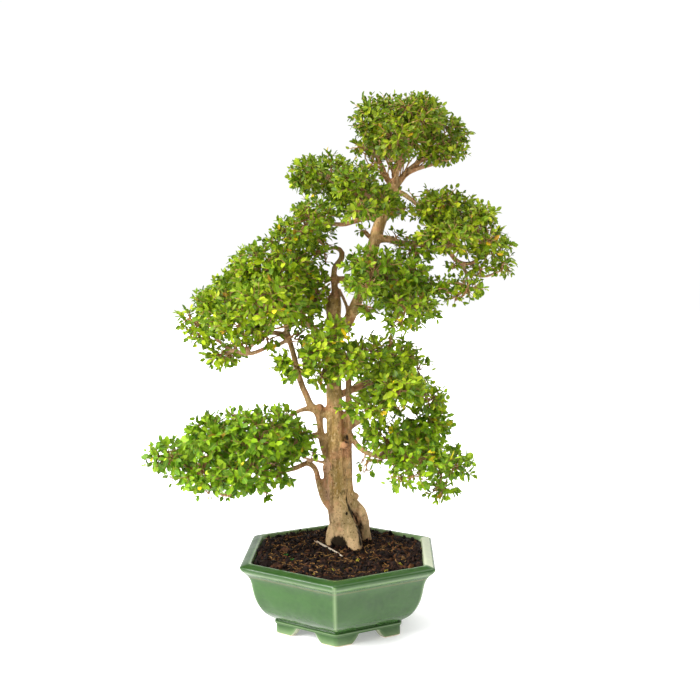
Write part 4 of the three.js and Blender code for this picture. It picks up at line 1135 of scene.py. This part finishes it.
def grow_stems(name, centre, half, spots, twigs):
    """Grows the stems inside one lobe, and lists where they end."""
    hub = centre - np.array([0, 0, 0.38 * half[2]])
    limb_point, _, gap = wood_tree.find(hub)
    limb_point = np.array(limb_point)
    path = bent(limb_point, hub, 7, directions(1)[0] * gap * 0.12)
    twigs.add_tube(path, np.linspace(2.1, 1.5, 7) * min(max(half[0] / 36, 0.4), 1), 6, (1.0,))
    count = min(SUBHUBS + int(half[0] > 45), len(spots))
    chosen = [int(draw.integers(len(spots)))]
    gaps = np.linalg.norm(spots - spots[chosen[0]], axis=1)
    while len(chosen) < count:
        chosen.append(int(gaps.argmax()))
        gaps = np.minimum(gaps, np.linalg.norm(spots - spots[chosen[-1]], axis=1))
    hubs = []
    for pick in chosen:
        goal = centre + (spots[pick] - centre) * draw.uniform(0.52, 0.68) * (1 - 8 / half.mean())
        share = draw.uniform(0.55, 1.0)
        start = limb_point * (1 - share) + hub * share
        if name in FORKS and draw.random() < 0.75:
            near = draw.uniform(0.05, 0.45)
            start = np.array(wood_tree.find(seen(*FORKS[name]) * (1 - near) + goal * near)[0])
        elif draw.random() < 0.5:
            start = np.array(wood_tree.find(goal * 0.25 + limb_point * 0.75)[0])
        bow, twist = directions(2) * np.linalg.norm(goal - start) * [[0.15], [0.05]]
        bow[2] = abs(bow[2])
        twigs.add_tube(bent(start, goal, 7, bow, twist), np.linspace(1.05, 0.7, 7), 5, (0.6,))
        hubs.append(goal)
    return np.array(hubs)


def make_foliage(name, leaves):
    """All the leaves of one spray, as one piece."""
    picks = np.cumsum([share for _, share in GREENS])
    picks /= picks[-1]
    points, tints, faces = [], [], []
    # each spray's brightness is partly painted light and shade
    bright_and_painted_light, yellow = TONES_AND_PAINTED_LIGHT[name]
    for k, (where, along, normal, length, width) in enumerate(leaves):
        points.append(leaf_points(
            where, along, normal, length, width,
            draw.uniform(0.08, 0.42), draw.uniform(-0.02, 0.20), draw.uniform(-0.12, 0.12),
        ))
        faces.extend([[i + k * len(BLADE) for i in face] for face in TOP_FACES + BOTTOM_FACES])
        tone = np.array(GREENS[int(np.searchsorted(picks, draw.random()))][0]) * draw.uniform(0.82, 1.15)
        # Painted light: lower leaves are made lighter, standing in for light thrown up from the floor.
        tone = tone * float(np.interp(where[2], (300, 650), (1.2, 0.98))) * bright_and_painted_light * (yellow, 1, 1)
        tone[2] += np.interp(where[2], (250, 500), (0.008, 0.0))
        tints.append(np.broadcast_to((*tone, 1.0), (len(BLADE), 4)))
    foliage = make_object(f"foliage_{name}", np.vstack(points), faces, LEAF)
    foliage.data.set_sharp_from_angle(angle=math.radians(70))
    give(foliage, "tint", np.vstack(tints), "FLOAT_COLOR")
    give(foliage, "blade", np.tile(BLADE, (len(leaves), 1)), "FLOAT_VECTOR")
    give(foliage, "under", ([0] * len(TOP_FACES) + [1] * len(BOTTOM_FACES)) * len(leaves), domain="FACE")
    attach(foliage, "root")
    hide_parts(f"spray_{name}")


def grow_spray(name, rows, tips):
    """Twigs and leaves of one spray."""
    leaves, twigs = [], Pile()

    def shoot(start, end, start_radius, outward, pairs, spacing):
        """A twig from start to end with pairs of leaves along its last part."""
        span = np.linalg.norm(end - start)
        sag = directions(1)[0] * span * 0.10
        path = bent(start, end, 3, sag)
        stem = unit(path[-1] - path[-2])
        before = len(leaves)
        across = unit(np.cross(stem, directions(1)[0]))
        vigour = draw.uniform(0.78, 1.22)
        for k in range(pairs):
            back = k * spacing
            if back > 0.75 * span:
                break
            share = 1 - back / span
            where = start * (1 - share) + end * share + math.sin(math.pi * share) * sag
            turn = math.pi / 2 * k + draw.normal(0, 0.25)
            other = np.cross(stem, across)
            side = across * math.cos(turn) + other * math.sin(turn)
            size = {0: 0.72, 1: 0.95}.get(k, 1.08) * vigour
            for hand in (-1, 1):
                if draw.random() < LEAVES_LOST:
                    continue
                lean = math.radians(draw.uniform(*(LEANS if k else TIP_LEANS)))
                along = unit(stem * math.cos(lean) + side * hand * math.sin(lean) + draw.normal(0, 0.12, 3))
                facing = 0.95 * outward + np.array([0, 0, 0.6]) + draw.normal(0, 0.34, 3)
                normal = unit(facing - along * facing.dot(along))
                length = size * smallness(end[2]) * draw.uniform(*LEAF_LENGTHS)
                middle, tip = where + along * length * 0.5, where + along * length
                _, index, gap = wood_tree.find(middle)
                if gap < samples[index, 3] + BARK_ROOM or (tip < LEAST).any() or (tip > MOST).any():
                    continue
                if hides_limb(middle) or hides_limb(tip):
                    continue
                leaves.append((where, along, normal, length, length * draw.uniform(*LEAF_WIDTHS)))
        if len(leaves) > before or name in FORKS:
            radii = start_radius * (1 - 0.55 * np.linspace(0, 1, 3))
            twigs.add_tube(path, radii, 3, (min(start_radius / 2.2, 1),))

    for lobe_index, (centre, half) in enumerate(rows):
        mine = [tip for tip in tips if tip[0] == lobe_index]
        if not mine:
            continue
        spots = np.array([tip[1] for tip in mine])
        hubs = grow_stems(name, centre, half, spots, twigs)
        for _, spot, inner in mine:
            nearest = hubs[np.linalg.norm(hubs - spot, axis=1).argmin()]
            outward = unit((spot - centre) / half**2)
            radius, pairs, spacing = (0.75, 3, 6.8) if inner else (0.85, int(draw.choice([4, 4, 5])), 6.2)
            radius, spacing = radius * TWIGGY.get(name, 1), spacing * smallness(spot[2])
            shoot(nearest, spot, radius, outward, pairs, spacing)
    make_foliage(name, leaves)
    points, faces, girth = twigs.all()
    stems = make_object(f"twigs_{name}", points, faces, TWIGS)
    give(stems, "girth", girth)
    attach(stems, "root")
    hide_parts(f"spray_{name}")


def make_sprays():
    names, numbers, spots, inner = [], [], [], []
    for name, rows in lobes.items():
        for k, (centre, half) in enumerate(rows):
            area = half.prod() ** (2 / 3) * 12.5
            for spacing, deep in ((TIP_SPACING, False), (INNER_SPACING, True)):
                count = int(area / spacing**2 * (2 if deep else 8))
                away = directions(count)
                away = away[(away[:, 2] > -0.25) | (draw.random(count) < 0.6)]
                count = len(away)
                lump = np.array([0.12 * ripple(centre + d * half, 21, 6.0) for d in away])
                loose = (draw.random(count) < 0.05) * draw.uniform(0.05, 0.16, count) * (not deep)
                reach = np.linalg.norm(away * half, axis=1)
                skin_deep = 1 - draw.uniform(3.0, 10.0, count) * np.minimum(1, reach / 22) / reach
                share = np.where(deep, draw.uniform(0.45, 0.72, count), skin_deep) + lump + loose
                spots.append(centre + away * half * share[:, None])
                names += [name] * count
                numbers += [k] * count
                inner += [deep] * count
    names, spots, inner = np.array(names), np.vstack(spots), np.array(inner)
    buried = depth_in(spots)
    keep = np.flatnonzero(np.where(inner, buried > 0.40, buried > 0.72))
    outer = draw.permutation(keep[~inner[keep]])
    deep = draw.permutation(keep[inner[keep]])
    for name, rows in lobes.items():
        size = math.sqrt(smallness(np.mean([centre[2] for centre, _ in rows]))) * CLOSER.get(name, 1)
        tips = []
        for picks, spacing in ((outer, TIP_SPACING), (deep, INNER_SPACING)):
            mine = picks[names[picks] == name]
            mine = mine[spread(spots[mine], spacing * size)]
            tips += [(numbers[i], spots[i], inner[i]) for i in mine]
        grow_spray(name, rows, tips)


# Light, floor and camera

PITCH = 0.1069  # how far the camera looks down, in radians


def make_studio():
    scene = bpy.context.scene
    floor = bpy.data.meshes.new("floor")
    size = 6.0
    corners = [(u * size, v * size, 0) for u, v in ((-1, -1), (1, -1), (1, 1), (-1, 1))]
    floor.from_pydata(corners, [], [(0, 1, 2, 3)])
    ground = add_object("floor", floor)
    n = Nodes("floor_paper")
    n.finish((238, 236, 238), 0.9, Emission_Strength=0.25)
    floor.materials.append(n.material)

    world = bpy.data.worlds.new("studio")
    world.use_nodes = True
    tree = world.node_tree
    background = tree.nodes["Background"]
    background.inputs["Color"].default_value = (1, 1, 1, 1)
    around = tree.nodes.new("ShaderNodeTexCoord")
    facing = tree.nodes.new("ShaderNodeVectorMath")
    facing.operation = "DOT_PRODUCT"
    brightness = tree.nodes.new("ShaderNodeMapRange")
    tree.links.new(around.outputs["Generated"], facing.inputs[0])
    facing.inputs[1].default_value = (-0.35, 0.94, 0)
    tree.links.new(facing.outputs["Value"], brightness.inputs["Value"])
    for key, number in (("From Min", -0.3), ("From Max", 0.7), ("To Min", 0.37), ("To Max", 0.775)):
        brightness.inputs[key].default_value = number
    tree.links.new(brightness.outputs["Result"], background.inputs["Strength"])
    scene.world = world
    for name, where, softness, power in (
        ("key", (-1.9, -1.2, 1.8), 40.0, 5.0),
        ("top", (0.4, 0.9, 2.8), 60.0, 2.0),
    ):
        light = bpy.data.lights.new(name, "SUN")
        light.angle, light.energy = math.radians(softness), power
        lamp = add_object(name, light)
        lamp.location = Vector(where)
        lamp.rotation_euler = (-lamp.location).to_track_quat("-Z", "Y").to_euler()

    data = bpy.data.cameras.new("camera")
    data.lens, data.sensor_width, data.clip_start, data.clip_end = 53.56, 36.0, 0.01, 100.0
    camera = add_object("camera", data)
    camera.location = Vector(EYE * MM + POT)
    camera.rotation_euler = (math.pi / 2 - PITCH, 0, 0)
    scene.camera = camera
    scene.view_settings.view_transform = "Standard"
    scene.view_settings.exposure = 0.4


make_pot()
make_soil()
make_wood()
make_sprays()
for side in ("left", "right"):
    mesh_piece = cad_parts[f"drainage_mesh_{side}"]
    for material_slot in mesh_piece.material_slots:
        material_slot.material = PLASTIC
make_studio()
